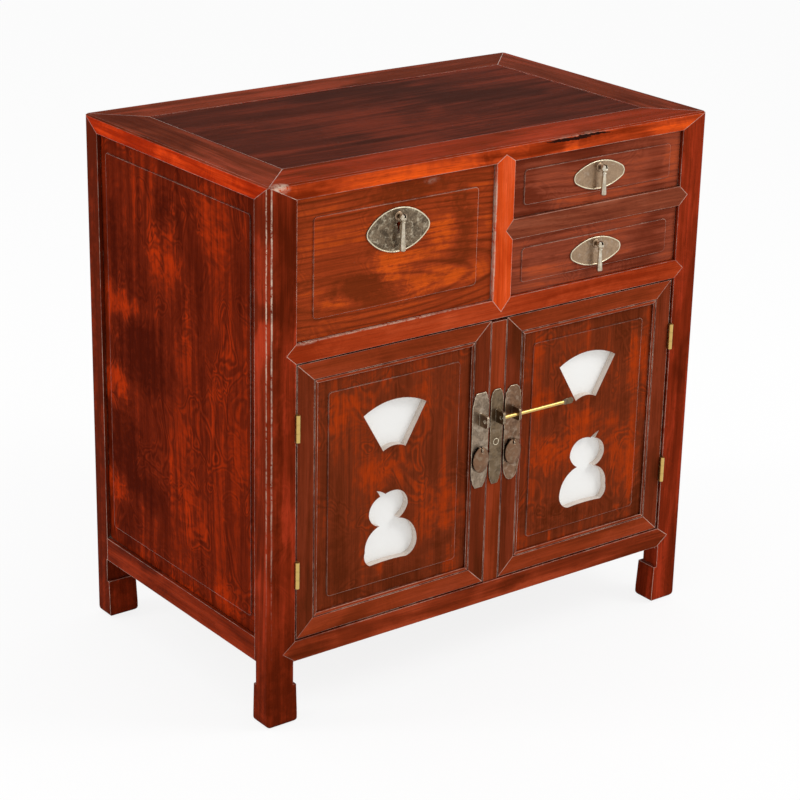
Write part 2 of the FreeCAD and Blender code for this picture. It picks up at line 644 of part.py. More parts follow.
# ---------------------------------------------------------------- posts
def post(label, side, end):
    """Post with a coved, flaring hoof foot and a pointed top for the mitres of the frame above."""
    item = body(label)

    def corner(outline):
        return moved(outline, across(side, 0), behind(end, 0), -side, -end)

    def section(wide, deep):
        return corner([("0", "post_round"), ("post_round", "0", "post_round", 1), (wide, "0"),
                       (wide, deep), ("0", deep)])

    pad(item, "XY_Plane", section("post_wide", "post_deep"), "bottom_rail_under", "height")
    # The two sloping cuts leave a pyramid whose point is the cabinet's outer corner.
    slope_x = [("0", "height"), ("post_wide", "top_under"), ("post_wide", "height")]
    slope_y = [("0", "height"), ("post_deep", "top_under"), ("post_deep", "height")]
    front_y, back_y = span(behind(end, 0), behind(end, "post_deep"))
    pocket(item, "XZ_Plane", moved(slope_x, across(side, 0), "0", -side), front_y, f"{front_y} + {back_y}")
    left_x, right_x = span(across(side, 0), across(side, "post_wide"))
    pocket(item, "YZ_Plane", moved(slope_y, behind(end, 0), "0", -end), left_x, f"{left_x} + {right_x}")
    stub_x = (across(side, "(post_wide - corner_tenon) / 2"), across(side, "(post_wide + corner_tenon) / 2"))
    stub_y = (behind(end, "post_deep - corner_tenon - corner_tenon_in"),
              behind(end, "post_deep - corner_tenon_in"))
    box(item, "Additive", stub_x, stub_y, ("top_under - corner_tenon_in", "top_under + corner_tenon"))
    # Neck, coves under the rails, and the hoof.
    neck_x = "post_wide - neck_inset"
    neck_y = "post_deep - neck_inset"
    pad(item, "XY_Plane", section(neck_x, neck_y), "hoof_ledge", "bottom_rail_under")
    cove = [("-neck_inset", "bottom_rail_under"), ("-neck_inset", "bottom_rail_under - cove_round"),
            ("cove_round - neck_inset", "bottom_rail_under", "cove_round", -1)]
    low_y, high_y = span(behind(end, "post_round"), behind(end, neck_y))
    pad(item, "XZ_Plane", moved(cove, across(side, "post_wide"), "0", -side), low_y, f"{low_y} + {high_y}")
    low_x, high_x = span(across(side, "post_round"), across(side, neck_x))
    pad(item, "YZ_Plane", moved(cove, behind(end, "post_deep"), "0", -end), low_x, f"{low_x} + {high_x}")
    hoof = item.newObject("PartDesign::AdditiveLoft", "Hoof")
    hoof.Profile = sketch(item, "XY_Plane", section("post_wide + hoof_step", "post_deep + hoof_step"),
                          "hoof_ledge")
    toe = section("post_wide + hoof_flare", "post_deep + hoof_flare")
    hoof.Sections = [sketch(item, "XY_Plane", toe, "hoof_toe")]
    hoof.Ruled = True
    pad(item, "XY_Plane", toe, "0", "hoof_toe")
    ease_edges(item, "Fillet", "hoof_round", lambda edge: near(edge.BoundBox.ZMax, "0")
                and edge.Length > size("2 * post_round"))
    if end < 0:
        for height in ("hinge_low", "hinge_high"):
            cylinder(item, "Subtractive", "Z", "knuckle_radius + part_play",
                     (across(side, "post_wide + door_hinge_gap / 2"), "hinge_axis_y",
                      f"{height} - hinge_long / 2 - part_play"), "hinge_long + 2 * part_play")
    else:
        back_slots(item, *BACK_BAYS)
    side_slot(item, side)
    return item


posts = []
for end_name, end in ENDS:
    for side_name, side in SIDES:
        label = f"post_{end_name}_{side_name}"
        blank = post(f"{label}_blank", side, end)
        rails = [low_rail_front, mid_rail_front] if end < 0 else [low_rail_back, mid_rail_back]
        if end < 0 and side > 0:
            rails.append(cross_rail)
        posts.append(cut(label, blank, *rails, side_rails[0 if side < 0 else 1]))

# ---------------------------------------------------------------- top
TOP_FIELD_X = ("-(width / 2 - top_wide)", "width / 2 - top_wide")
TOP_FIELD_Y = ("front + top_wide", "back - top_wide")
TOP_TONGUE_Z = ("top_panel_under", "top_panel_under + tongue_thick")
top_tongue_x = wider(TOP_FIELD_X, "tongue_in")
top_tongue_y = wider(TOP_FIELD_Y, "tongue_in")
batten_x = ("-batten_wide / 2", "batten_wide / 2")
batten = board("top_batten", batten_x, top_tongue_y, ("top_panel_under - batten_thick", "top_panel_under"))

top_panel = body("top_panel")
box(top_panel, "Additive", top_tongue_x, top_tongue_y, TOP_TONGUE_Z)
box(top_panel, "Additive", wider(TOP_FIELD_X, "-top_line"), wider(TOP_FIELD_Y, "-top_line"),
    (TOP_TONGUE_Z[1], "height - top_sunk"))

# A quarter circle leaves a corner's mitre this far in from both faces.
MITRE_START = "post_round * (1 - 1 / sqrt(2))"


def top_rail(label, long_half, wide_half, along_x, way):
    """Member of the mitred top frame; way is the side of the cabinet that it lies on."""
    item = body(label)
    half = [
        (f"{long_half} - top_wide", f"{wide_half} - top_wide"),
        (f"{long_half} - {MITRE_START}", f"{wide_half} - {MITRE_START}"),
        (f"{long_half} - post_round", wide_half, "post_round", 1),
    ]
    outline = half + [(f"-({u})", v) for u, v, *arc in reversed(half)]
    outline[4] = (*outline[4], "post_round", 1)
    middle_y = "(front + back) / 2"
    if along_x:
        outline = moved(outline, "0", middle_y, 1, way)
    else:
        outline = [(v, u, *((arc[0], -arc[1]) if arc else ())) for u, v, *arc in outline]
        outline = moved(outline, "0", middle_y, way, 1)
    pad(item, "XY_Plane", outline, "top_under", "height")
    centre = size(middle_y)

    def outer_arris(edge):
        middle = edge.CenterOfMass
        reach_x = abs(middle.x) > size("width / 2 - post_round")
        reach_y = abs(middle.y - centre) > size("depth / 2 - post_round")
        return near(edge.BoundBox.ZMin, "height") and (reach_x or reach_y)

    ease_edges(item, "Chamfer", "arris_bevel", outer_arris)
    play = "groove_deep - tongue_in"
    box(item, "Subtractive", wider(top_tongue_x, play), wider(top_tongue_y, play),
        wider(TOP_TONGUE_Z, "panel_play"))
    return item


for end_name, end in ENDS:
    rail = top_rail(f"top_{end_name}_blank", "width / 2", "depth / 2", True, end)
    if end > 0:
        back_slots(rail, BACK_BAYS[1])
    for side_name, side in SIDES:
        side_slot(rail, side)
    tools = [batten, divider] if end < 0 else [batten]
    cut(f"top_rail_{end_name}", rail, *tools, *posts)
for side_name, side in SIDES:
    rail = top_rail(f"top_{side_name}_blank", "depth / 2", "width / 2", False, side)
    side_slot(rail, side)
    back_slots(rail, BACK_BAYS[1])
    cut(f"top_rail_{side_name}", rail, *posts)

# ---------------------------------------------------------------- drawer carriers
RAIL_TO_RAIL = ("front + rail_deep", "back - rail_deep")
bearer = body("center_bearer")
box(bearer, "Additive", ("bay_offset - bearer_wide / 2", "bay_offset + bearer_wide / 2"), RAIL_TO_RAIL,
    ("mid_rail_top - bearer_thick", "mid_rail_top"))
box(bearer, "Additive", wider(DIVIDER_X, "-part_play"), RAIL_TO_RAIL, ("mid_rail_top", "partition_low"))
PARTITION_X = ("bay_offset - partition_thick / 2", "bay_offset + partition_thick / 2")
board("drawer_partition", PARTITION_X, ("front + rail_deep", "back - back_panel_sunk - back_panel_thick"),
      ("partition_low", "top_under"))


def runner(label, outer, inner, way, top, y):
    """Runner: a ledge under the drawer's side and a guide beside it."""
    item = body(label)
    box(item, "Additive", (outer, f"{inner} + {way} * runner_reach"), y, (f"{top} - runner_thick", top))
    box(item, "Additive", (outer, f"{inner} - {way} * part_play"), y, (top, f"{top} + guide_tall"))
    return item


group("drawer_runners",
      runner("runner_big", across(-1, "runner_back"), across(-1, "post_wide"), 1,
             "mid_rail_top", INNER_Y),
      runner("runner_lower", across(1, "runner_back"), across(1, "post_wide"), -1,
             "mid_rail_top", INNER_Y),
      runner("runner_upper", across(1, "runner_back"), across(1, "post_wide"), -1,
             "cross_rail_top", INNER_Y),
      runner("runner_inner", PARTITION_X[1], "small_left", 1, "cross_rail_top", RAIL_TO_RAIL))

# ---------------------------------------------------------------- loose centre stile
centre_stile = body("center_stile")
stile_low = "bottom_rail_top + part_play"
stile_top = "mid_rail_under - stile_lift - part_play"
box(centre_stile, "Additive", ("bay_offset - stile_wide / 2", "bay_offset + stile_wide / 2"),
    ("door_face", "door_face + stile_thick"), (stile_low, stile_top))
box(centre_stile, "Additive", STILE_X, STILE_Y,
    (f"{stile_low} - stile_tenon_low", "mid_rail_under + stile_tenon_top - stile_lift"))

# ---------------------------------------------------------------- doors
# Gourd outline in parts of its size: (across, up, bulge of the arc that ends there), stem last.
# A bulge is the arc's rise over half its chord, positive where the outline swells outwards.
GOURD = (
    (-0.35, 0.00, 0.38),
    (0.22, 0.00, -0.05),
    (0.38, 0.22, 0.39),
    (0.09, 0.555, 0.33),
    (0.225, 0.72, 0.19),
    (0.03, 0.95, 0.40),
    (-0.125, 0.93, 0.12),
    (-0.265, 1.00, 0.10),
    (-0.205, 0.91, -0.10),
    (-0.375, 0.68, 0.36),
    (-0.207, 0.51, 0.32),
    (-0.43, 0.20, 0.375),
)


def gourd_outline(x, z, flip):
    """Double gourd with a leaning stem; each arc's radius follows from its chord and bulge."""
    result = []
    for index, (u, v, bulge) in enumerate(GOURD):
        last_u, last_v, unused = GOURD[index - 1]
        chord = math.hypot(u - last_u, v - last_v)
        rise = abs(bulge)
        radius = chord * (1 + rise * rise) / (4 * rise)
        result.append((f"{u} * gourd_size", f"{v} * gourd_size", f"{radius} * gourd_size",
                       1 if bulge > 0 else -1))
    return moved(result, x, z, flip)


def fan_outline(x, z):
    """Folding-fan leaf: a ring sector that opens upwards."""
    sine, cosine = "sin(fan_half_angle)", "cos(fan_half_angle)"
    outline = [
        (f"-fan_inner * {sine}", f"fan_inner * {cosine}"),
        (f"fan_inner * {sine}", f"fan_inner * {cosine}", "fan_inner", -1),
        (f"fan_outer * {sine}", f"fan_outer * {cosine}"),
        (f"-fan_outer * {sine}", f"fan_outer * {cosine}", "fan_outer", 1),
    ]
    return moved(outline, x, z)


# One side of each lock plate, up from its foot: (part of half the width, part of the height), with a
# third value where a lobe ends.
PLATE_SIDES = {
    "left": ((0.45, 0), (0.62, 0.03), (0.75, 0.05), (0.84, 0.09), (0.92, 0.105), (1, 0.16), (1, 0.845),
             (0.97, 0.88), (0.92, 0.885), (0.88, 0.925), (0.82, 0.93), (0.76, 0.965), (0.68, 0.975),
             (0.57, 1)),
    "center": ((0.45, 0), (0.78, 0.05), (0.94, 0.11), (1, 0.2), (1, 0.9), (0.93, 0.93), (0.78, 0.97),
               (0.43, 1)),
    "right": ((0.2, 0), (0.5, 0.02), (0.78, 0.07), (0.94, 0.13), (1, 0.2), (1, 0.865), (0.91, 0.905),
              (0.73, 0.948, 1), (0.53, 0.983, 1), (0.34, 1, 1)),
}


def lock_plate_outline(name, wide):
    """Long plate with a shaped head and foot, the same on both sides."""
    lobe = ("lobe_round", 1)
    up = [(f"{u} * {wide} / 2", f"{v} * plate_tall", *(lobe if mark else ()))
          for u, v, *mark in PLATE_SIDES[name]]
    arcs = [()] + [arc for u, v, *arc in reversed(up)]
    down = [(f"-({u})", v, *arc) for (u, v, *own), arc in zip(reversed(up), arcs)]
    return up + down


def eye(owner, x, back_y):
    """Flat lock eye standing out from its plate, with a round hole along X."""
    outline = [
        (back_y, "lock_height + eye_tall / 2"), (back_y, "lock_height - eye_tall / 2"),
        ("front - eye_front + eye_round", "lock_height - eye_tall / 2"),
        ("front - eye_front", "lock_height - eye_tall / 2 + eye_round", "eye_round", -1),
        ("front - eye_front", "lock_height + eye_tall / 2 - eye_round"),
        ("front - eye_front + eye_round", "lock_height + eye_tall / 2", "eye_round", -1),
    ]
    pad(owner, "YZ_Plane", outline, f"{x} - eye_thick / 2", f"{x} + eye_thick / 2")
    cylinder(owner, "Subtractive", "X", "lock_pin_radius + lock_pin_play",
             (f"{x} - eye_thick", "lock_axis_y", "lock_height"), "2 * eye_thick")


def ear(owner, x, axis_y, z, back_y):
    """Ear that something hangs from: a tab whose end is half of an octagon about the pivot."""
    outline = [(back_y, f"{z} + ear_radius"), (back_y, f"{z} - ear_radius")]
    for turn in range(-90, 91, 45):
        outline.append((f"{axis_y} - ear_radius * cos({turn})", f"{z} + ear_radius * sin({turn})"))
    pad(owner, "YZ_Plane", outline, f"{x} - ear_thick / 2", f"{x} + ear_thick / 2")


def pendant(label, x):
    """Oval drop with a bevelled front, notched at its head for the ear that carries it."""
    item = body(label)
    top = "pendant_pivot + pendant_head"
    thick = ("pendant_axis_y - pendant_thick / 2", "pendant_axis_y + pendant_thick / 2")
    outline = oval("(pendant_wide / 2)", "(pendant_tall / 2)", "pendant_end")
    pad(item, "XZ_Plane", moved(outline, x, f"{top} - pendant_tall / 2"), *thick)
    ease_edges(item, "Chamfer", "pendant_bevel", lambda edge: near(edge.BoundBox.YMax, thick[0]))
    box(item, "Subtractive", (f"{x} - ear_thick / 2 - part_play", f"{x} + ear_thick / 2 + part_play"),
        wider(thick, "part_play"), ("pendant_pivot - ear_radius - part_play", f"{top} + part_play"))
    return item


def hinge(side, height):
    """Butt hinge: fixed leaf with two knuckles and the pin, and a door leaf with the middle knuckle."""
    x = across(side, "post_wide + door_hinge_gap / 2")
    low = f"{height} - hinge_long / 2"
    knuckles = [f"{low} + {number} * (knuckle_long + part_play)" for number in range(3)]
    leaves = []
    for name, toward, own in (("fixed", 1, (0, 2)), ("moving", -1, (1,))):
        leaf = body(f"hinge_{name}")
        plate_x = [f"{x} + {side * toward} * {reach}" for reach in ("part_play", "(part_play + leaf_thick)")]
        box(leaf, "Additive", plate_x, ("hinge_axis_y", "front + leaf_deep"), (low, f"{low} + hinge_long"))
        for number, start in enumerate(knuckles):
            ends = (start, f"{start} + knuckle_long")
            if number in own:
                cylinder(leaf, "Additive", "Z", "knuckle_radius", (x, "hinge_axis_y", start), "knuckle_long")
            else:
                notch_y = ("hinge_axis_y", "hinge_axis_y + knuckle_radius + part_play")
                box(leaf, "Subtractive", plate_x, notch_y, wider(ends, "part_play"))
        leaves.append(leaf)
    fixed, moving = leaves
    foot = (x, "hinge_axis_y", low)
    cylinder(fixed, "Additive", "Z", "hinge_pin_radius", foot, "hinge_long")
    cylinder(moving, "Subtractive", "Z", "hinge_pin_radius + run_play", foot, "hinge_long")
    return fixed, moving


fixed_leaves = []


def door(name, side):
    """Framed door with a pierced panel, its white backing, its lock plate and its hinge leaves."""
    hinge_x = across(side, "post_wide + door_hinge_gap")
    lock_x = f"bay_offset + {side} * (stile_wide / 2 + door_lock_gap)"
    inner_hinge = f"{hinge_x} - {side} * door_stile_wide"
    inner_lock = f"{lock_x} + {side} * door_stile_wide"
    inner_low, inner_top = "door_low + door_rail_wide", "door_top - door_rail_wide"
    depth_y = ("door_face", "door_face + door_thick")
    tongue_y = ("door_face + door_margin_sunk", "door_face + door_margin_sunk + tongue_thick")
    inner_x = (inner_lock, inner_hinge) if side > 0 else (inner_hinge, inner_lock)
    tongue_x = wider(inner_x, "tongue_in")
    tongue_z = wider((inner_low, inner_top), "tongue_in")

    def frame_piece(label, outline, bead):
        item = body(label)
        pad(item, "XZ_Plane", outline, *depth_y)
        play = "groove_deep - tongue_in"
        box(item, "Subtractive", wider(tongue_x, play), wider(tongue_y, "panel_play"), wider(tongue_z, play))
        box(item, "Subtractive", bead[0], ("door_face", "door_face + quirk_deep"), bead[1])
        return item

    full_x = (lock_x, hinge_x) if side > 0 else (hinge_x, lock_x)
    full_z = ("door_low", "door_top")
    for part, outer, inner, way in (("hinge_stile", hinge_x, inner_hinge, side),
                                    ("lock_stile", lock_x, inner_lock, -side)):
        quirk = (f"{inner} + {way} * bead_wide", f"{inner} + {way} * (bead_wide + quirk_wide)")
        frame_piece(f"door_{name}_{part}", [(outer, "door_low"), (outer, "door_top"),
                                            (inner, inner_top), (inner, inner_low)], (quirk, full_z))
    rails = []
    for outer, inner, way in (("door_top", inner_top, 1), ("door_low", inner_low, -1)):
        quirk = (f"{inner} + {way} * bead_wide", f"{inner} + {way} * (bead_wide + quirk_wide)")
        rails.append(frame_piece("door_rail", [(hinge_x, outer), (lock_x, outer),
                                               (inner_lock, inner), (inner_hinge, inner)],
                                 (full_x, quirk)))
    group(f"door_{name}_rails", *rails)

    panel = body(f"door_{name}_panel")
    panel_back = "door_face + door_margin_sunk + door_panel_thick"
    box(panel, "Additive", tongue_x, tongue_y, tongue_z)
    box(panel, "Additive", wider(inner_x, "-panel_play"), (tongue_y[1], panel_back),
        wider((inner_low, inner_top), "-panel_play"))
    field = rounded(wider(inner_x, "-door_field_margin"),
                    wider((inner_low, inner_top), "-door_field_margin"), "field_round")
    pad(panel, "XZ_Plane", field, f"{tongue_y[0]} - field_raise", tongue_y[0])
    middle = f"({inner_hinge} + {inner_lock}) / 2"
    cut_y = (f"{tongue_y[0]} - field_raise - 1", f"{panel_back} + 1")
    pocket(panel, "XZ_Plane", fan_outline(middle, "fan_centre"), *cut_y)
    pocket(panel, "XZ_Plane", gourd_outline(middle, "gourd_foot", -side), *cut_y)

    sheet_x = wider(inner_x, "-backing_side")
    sheet_z = wider((inner_low, inner_top), "-backing_side")
    sheet_y = (panel_back, f"{panel_back} + backing_thick")
    board(f"door_{name}_backing", sheet_x, sheet_y, sheet_z)

    # Four strips, each lapping the edge of the white sheet and glued to the panel beside it.

    def strip(x, z):
        item = body("strip")
        box(item, "Additive", x, (panel_back, f"{panel_back} + strip_thick"), z)
        box(item, "Subtractive", wider(sheet_x, "panel_play"), sheet_y, wider(sheet_z, "panel_play"))
        return item

    strips = []
    for start, way in ((inner_x[0], 1), (inner_x[1], -1)):
        edge = f"{start} + {way} * (backing_side - strip_lap)"
        strips.append(strip((edge, f"{edge} + {way} * strip_wide"), wider(sheet_z, "strip_lap")))
    for start, way in ((inner_low, 1), (inner_top, -1)):
        edge = f"{start} + {way} * (backing_side - strip_lap)"
        strips.append(strip(wider(sheet_x, "strip_lap - strip_wide"), (edge, f"{edge} + {way} * strip_wide")))
    group(f"door_{name}_strips", *strips)

    plate_x = f"{lock_x} + {side} * plate_wide / 2"
    plate = body(f"door_{name}_lock_plate")
    outline = lock_plate_outline(name, "plate_wide")
    pad(plate, "XZ_Plane", moved(outline, plate_x, "plate_low"), "plate_face", "door_face")
    eye(plate, plate_x, "plate_face")
    ear(plate, plate_x, "pendant_axis_y", "pendant_pivot", "plate_face")
    pendant(f"door_{name}_pendant", plate_x)

    leaves = []
    for height in ("hinge_low", "hinge_high"):
        fixed, moving = hinge(side, height)
        leaves.append(moving)
        fixed_leaves.append(fixed)
    group(f"door_{name}_hinge_leaves", *leaves)


for side_name, side in SIDES:
    door(side_name, side)
group("hinge_leaves_fixed", *fixed_leaves)

# ---------------------------------------------------------------- centre plate and lock pin
centre_plate = body("center_lock_plate")
pad(centre_plate, "XZ_Plane",
    moved(lock_plate_outline("center", "centre_plate_wide"), "bay_offset", "plate_low"),
    "plate_face", "door_face")
eye(centre_plate, "bay_offset", "plate_face")

# The pin is drawn out to the right: its tip is just clear of the centre eye.
lock_pin = body("lock_pin")
cylinder(lock_pin, "Additive", "X", "lock_pin_radius", ("pin_tip", "lock_axis_y", "lock_height"),
         "lock_pin_long")
leaf_start = "pin_tip + lock_pin_long - lock_pin_radius"
leaf_end = "pin_tip + lock_pin_long + lock_leaf_long"
pad(lock_pin, "XZ_Plane", [
    (leaf_start, "lock_height - lock_pin_radius"),
    (f"{leaf_start} + lock_leaf_taper", "lock_height - lock_leaf_tall / 2"),
    (f"{leaf_end} - lock_leaf_point", "lock_height - lock_leaf_tall / 2"), (leaf_end, "lock_height"),
    (f"{leaf_end} - lock_leaf_point", "lock_height + lock_leaf_tall / 2"),
    (f"{leaf_start} + lock_leaf_taper", "lock_height + lock_leaf_tall / 2"),
    (leaf_start, "lock_height + lock_pin_radius"),
], "lock_axis_y - lock_leaf_thick / 2", "lock_axis_y + lock_leaf_thick / 2")


# ---------------------------------------------------------------- drawers and their pulls
def pull_plate(label, kind, x, z):
    """Oval plate lying on its side, with an ear above its middle."""
    item = body(label)
    outline = [(v, u, end, -turn) for u, v, end, turn in
               oval(f"({kind}_pull_tall / 2)", f"({kind}_pull_wide / 2)", f"{kind}_pull_end")]
    face = "drawer_face - pull_thick"
    pad(item, "XZ_Plane", moved(outline, x, z), face, "drawer_face")
    ear(item, x, "drawer_face - drop_front", f"{z} + {kind}_hanger_rise", face)
    return item


def keyhole(owner, x, hanger_z):
    """Round keyhole with a slot below it, through the big plate and into the drawer front."""
    y = ("drawer_face - pull_thick", "drawer_face + keyhole_deep")
    round_z = f"{hanger_z} - keyhole_fall"
    cylinder(owner, "Subtractive", "Y", "keyhole_radius", (x, y[0], round_z), f"{y[1]} - ({y[0]})")
    box(owner, "Subtractive", (f"{x} - keyhole_slot", f"{x} + keyhole_slot"), y,
        (f"{round_z} - keyhole_radius - keyhole_long", round_z))


def drop(label, x, y, z, long):
    """Eight-sided drop: a head slotted for the ear, a neck, a collar, and a taper that swells downwards."""
    item = body(label)
    # Across corners and distance below the pivot, from the crown down.
    levels = [
        ("0.6 * drop_head", "-drop_head"),
        ("drop_head", "-0.6 * drop_head"),
        ("drop_head", "0.5 * drop_head"),
        ("drop_neck", "0.9 * drop_head"),
        ("drop_neck", "drop_collar_fall"),
        ("drop_collar", "drop_collar_fall + drop_collar_ease"),
        ("drop_collar", "drop_collar_fall + drop_collar_thick"),
        ("drop_neck", "drop_collar_fall + drop_collar_thick + drop_collar_ease"),
        ("drop_end", f"{long} - drop_end_bevel"),
        ("drop_end - drop_end_bevel", long),
    ]
    turns = [45 * corner + 22.5 for corner in range(8)]
    rings = []
    for radius, fall in levels:
        ring = [(f"({radius}) * cos({turn})", f"({radius}) * sin({turn})") for turn in turns]
        rings.append(sketch(item, "XY_Plane", ring, f"-({fall})"))
    shank = item.newObject("PartDesign::AdditiveLoft", "Shank")
    shank.Profile = rings[0]
    shank.Sections = rings[1:]
    shank.Ruled = True
    # The slot takes the ear; above the pivot it runs through to the front, so that the drop can be lifted.
    slot_x = ("-(ear_thick / 2 + part_play)", "ear_thick / 2 + part_play")
    foot, past = "-(ear_radius + part_play)", "drop_head + part_play"
    box(item, "Subtractive", slot_x, (foot, past), (foot, past))
    box(item, "Subtractive", slot_x, (f"-({past})", past), ("0", past))
    place(item, x, y, z)
    return item


def drawer(name, kind, x, z, pull_rise):
    """Drawer: front with a raised field, dovetailed sides, back and bottom, and its pull."""
    face_x = wider(x, "-drawer_gap")
    face_z = (f"{z[0]} + runner_play", f"{z[1]} - drawer_gap")
    front_y = ("drawer_face + field_raise", "drawer_face + drawer_front_thick")
    front = body(f"drawer_{name}_front_blank")
    box(front, "Additive", face_x, front_y, face_z)
    field = rounded(wider(face_x, f"-{kind}_field_side"), wider(face_z, f"-{kind}_field_end"), "field_round")
    pad(front, "XZ_Plane", field, "drawer_face", front_y[0])
    # The bottom board is grooved into the front and the sides and passes under the back.
    bottom_z = (f"{face_z[0]} + drawer_bottom_up", f"{face_z[0]} + drawer_bottom_up + drawer_bottom_thick")
    inner_x = wider(face_x, "-drawer_side_thick")
    box(front, "Subtractive", wider(inner_x, "groove_deep"), (f"{front_y[1]} - groove_deep", front_y[1]),
        bottom_z)
    pull_x = middle_of(x)
    pull_z = f"{middle_of(z)} + {pull_rise}"
    plate = pull_plate(f"drawer_{name}_pull_plate", kind, pull_x, pull_z)
    hanger_z = f"{pull_z} + {kind}_hanger_rise"
    if kind == "big":
        keyhole(plate, pull_x, hanger_z)
        keyhole(front, pull_x, hanger_z)
    drop(f"drawer_{name}_drop", pull_x, "drawer_face - drop_front", hanger_z, f"{kind}_drop_long")

    top_z = f"{face_z[1]} - drawer_side_low"
    tails = max(1, round(size(f"({top_z} - ({bottom_z[1]})) / tail_pitch")))
    pitch = f"({top_z} - ({bottom_z[1]})) / {tails}"
    walls = []
    for edge, way in ((face_x[0], 1), (face_x[1], -1)):
        wall = body("drawer_side")
        wall_x = (edge, f"{edge} + {way} * drawer_side_thick")
        box(wall, "Additive", wall_x, (front_y[1], "drawer_end"), (face_z[0], top_z))
        for number in range(tails):
            middle = f"{bottom_z[1]} + {number + 0.5} * {pitch}"
            tip, root = f"{front_y[1]} - tail_deep", front_y[1]
            tail = [(tip, f"{middle} - {pitch} / 3"), (root, f"{middle} - {pitch} / 4"),
                    (root, f"{middle} + {pitch} / 4"), (tip, f"{middle} + {pitch} / 3")]
            pad(wall, "YZ_Plane", tail, *(wall_x if way > 0 else wall_x[::-1]))
        box(wall, "Subtractive", wider(inner_x, "groove_deep"), (front_y[1], "drawer_end"), bottom_z)
        walls.append(wall)
    cut(f"drawer_{name}_front", front, *walls)
    back_board = board("drawer_back", inner_x, ("drawer_end - drawer_side_thick", "drawer_end"),
                       (bottom_z[1], top_z))
    bottom_board = board("drawer_bottom", wider(inner_x, "groove_deep"),
                         (f"{front_y[1]} - groove_deep", "drawer_end"), bottom_z)
    group(f"drawer_{name}_box", *walls, back_board, bottom_board)


BIG_X = ("-(inner_post)", "bay_offset - divider_wide / 2")
SMALL_X = ("small_left", "inner_post")

drawer("big", "big", BIG_X, ("mid_rail_top", "top_under"), "big_pull_rise")
drawer("lower", "small", SMALL_X, ("mid_rail_top", "cross_rail_under"), "small_pull_rise")
drawer("upper", "small", SMALL_X, ("cross_rail_top", "top_under"), "small_pull_rise")

# ---------------------------------------------------------------- check and write
NODES = [
    "post_front_left", "post_front_right", "post_back_left", "post_back_right",
    "top_rail_front", "top_rail_back", "top_rail_left", "top_rail_right", "top_panel", "top_batten",
    "bottom_rail_front", "bottom_rail_back", "bottom_rails_side", "mid_rail_front", "mid_rail_back",
    "drawer_divider", "drawer_cross_rail", "side_panel_left", "side_panel_right", "back_panels",
    "bottom_board", "center_bearer", "drawer_partition", "drawer_runners", "center_stile",
    "center_lock_plate", "lock_pin", "hinge_leaves_fixed",
]
for side_name, side in SIDES:
    NODES += [f"door_{side_name}_{part}" for part in (
        "hinge_stile", "lock_stile", "rails", "panel", "backing", "strips", "lock_plate", "pendant",
        "hinge_leaves")]
for drawer_name in ("big", "lower", "upper"):
    NODES += [f"drawer_{drawer_name}_{part}" for part in ("front", "box", "pull_plate", "drop")]

doc.recompute()
failed = [item.Label for item in doc.Objects if {"Invalid", "Error"} & set(item.State)]
if failed:
    raise RuntimeError("failed objects: " + ", ".join(failed))
by_label = {item.Label: item for item in doc.Objects}
for node in NODES:
    shape = by_label[node].Shape
    if shape.isNull() or not shape.isValid() or not shape.Solids:
        raise RuntimeError(f"{node} has no sound solid")

os.makedirs("parts", exist_ok=True)
for node in NODES:
    by_label[node].Shape.exportStep(f"parts/{node}.step")
print(f"{len(NODES)} nodes written")
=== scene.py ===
"""Finish of the kang cabinet: figured hardwood, aged metal, pulls, pendants and the studio."""

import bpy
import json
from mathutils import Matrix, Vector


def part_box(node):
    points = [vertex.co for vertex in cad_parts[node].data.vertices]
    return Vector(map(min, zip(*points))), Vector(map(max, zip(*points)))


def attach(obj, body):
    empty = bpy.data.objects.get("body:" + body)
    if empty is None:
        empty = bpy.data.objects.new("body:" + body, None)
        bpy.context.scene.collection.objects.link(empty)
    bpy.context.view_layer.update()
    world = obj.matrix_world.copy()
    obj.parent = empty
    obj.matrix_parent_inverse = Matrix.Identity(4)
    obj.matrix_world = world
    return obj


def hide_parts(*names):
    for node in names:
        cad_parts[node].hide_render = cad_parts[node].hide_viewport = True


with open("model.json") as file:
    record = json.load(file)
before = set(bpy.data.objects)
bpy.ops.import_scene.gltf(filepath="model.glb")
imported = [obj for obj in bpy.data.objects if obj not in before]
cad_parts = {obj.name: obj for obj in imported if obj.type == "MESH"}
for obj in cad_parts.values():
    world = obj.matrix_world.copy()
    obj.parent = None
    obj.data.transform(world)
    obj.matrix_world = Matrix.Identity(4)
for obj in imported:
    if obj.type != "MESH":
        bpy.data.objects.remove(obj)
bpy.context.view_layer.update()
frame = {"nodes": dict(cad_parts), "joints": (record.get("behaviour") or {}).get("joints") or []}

import json
import math

import bmesh
import bpy
from bpy.props import FloatProperty, FloatVectorProperty, PointerProperty
from mathutils import Matrix, Vector

bl_info = {
    "name": "Kang Cabinet Finish",
    "version": (1, 0, 0),
    "blender": (4, 5, 0),
    "location": "3D View > Sidebar > Cabinet",
    "description":
        "Dresses the kang cabinet in figured hardwood and aged metal, and sets up its studio",
    "category": "Object",
}

NODES = frame["nodes"]
SIDES = ("left", "right")
DRAWERS = ("big", "lower", "upper")
POSTS = [f"post_{end}_{side}" for end in ("front", "back") for side in SIDES]
SHADES = ("dark", "middle", "light")
FULL_TURN = 2 * math.pi
MIDDLE = (0.5, 0.5, 0.5)
WHITE = (1.0, 1.0, 1.0)
# Corners of a mesh are told apart on a grid of this many steps to the metre.
GRID = 20000


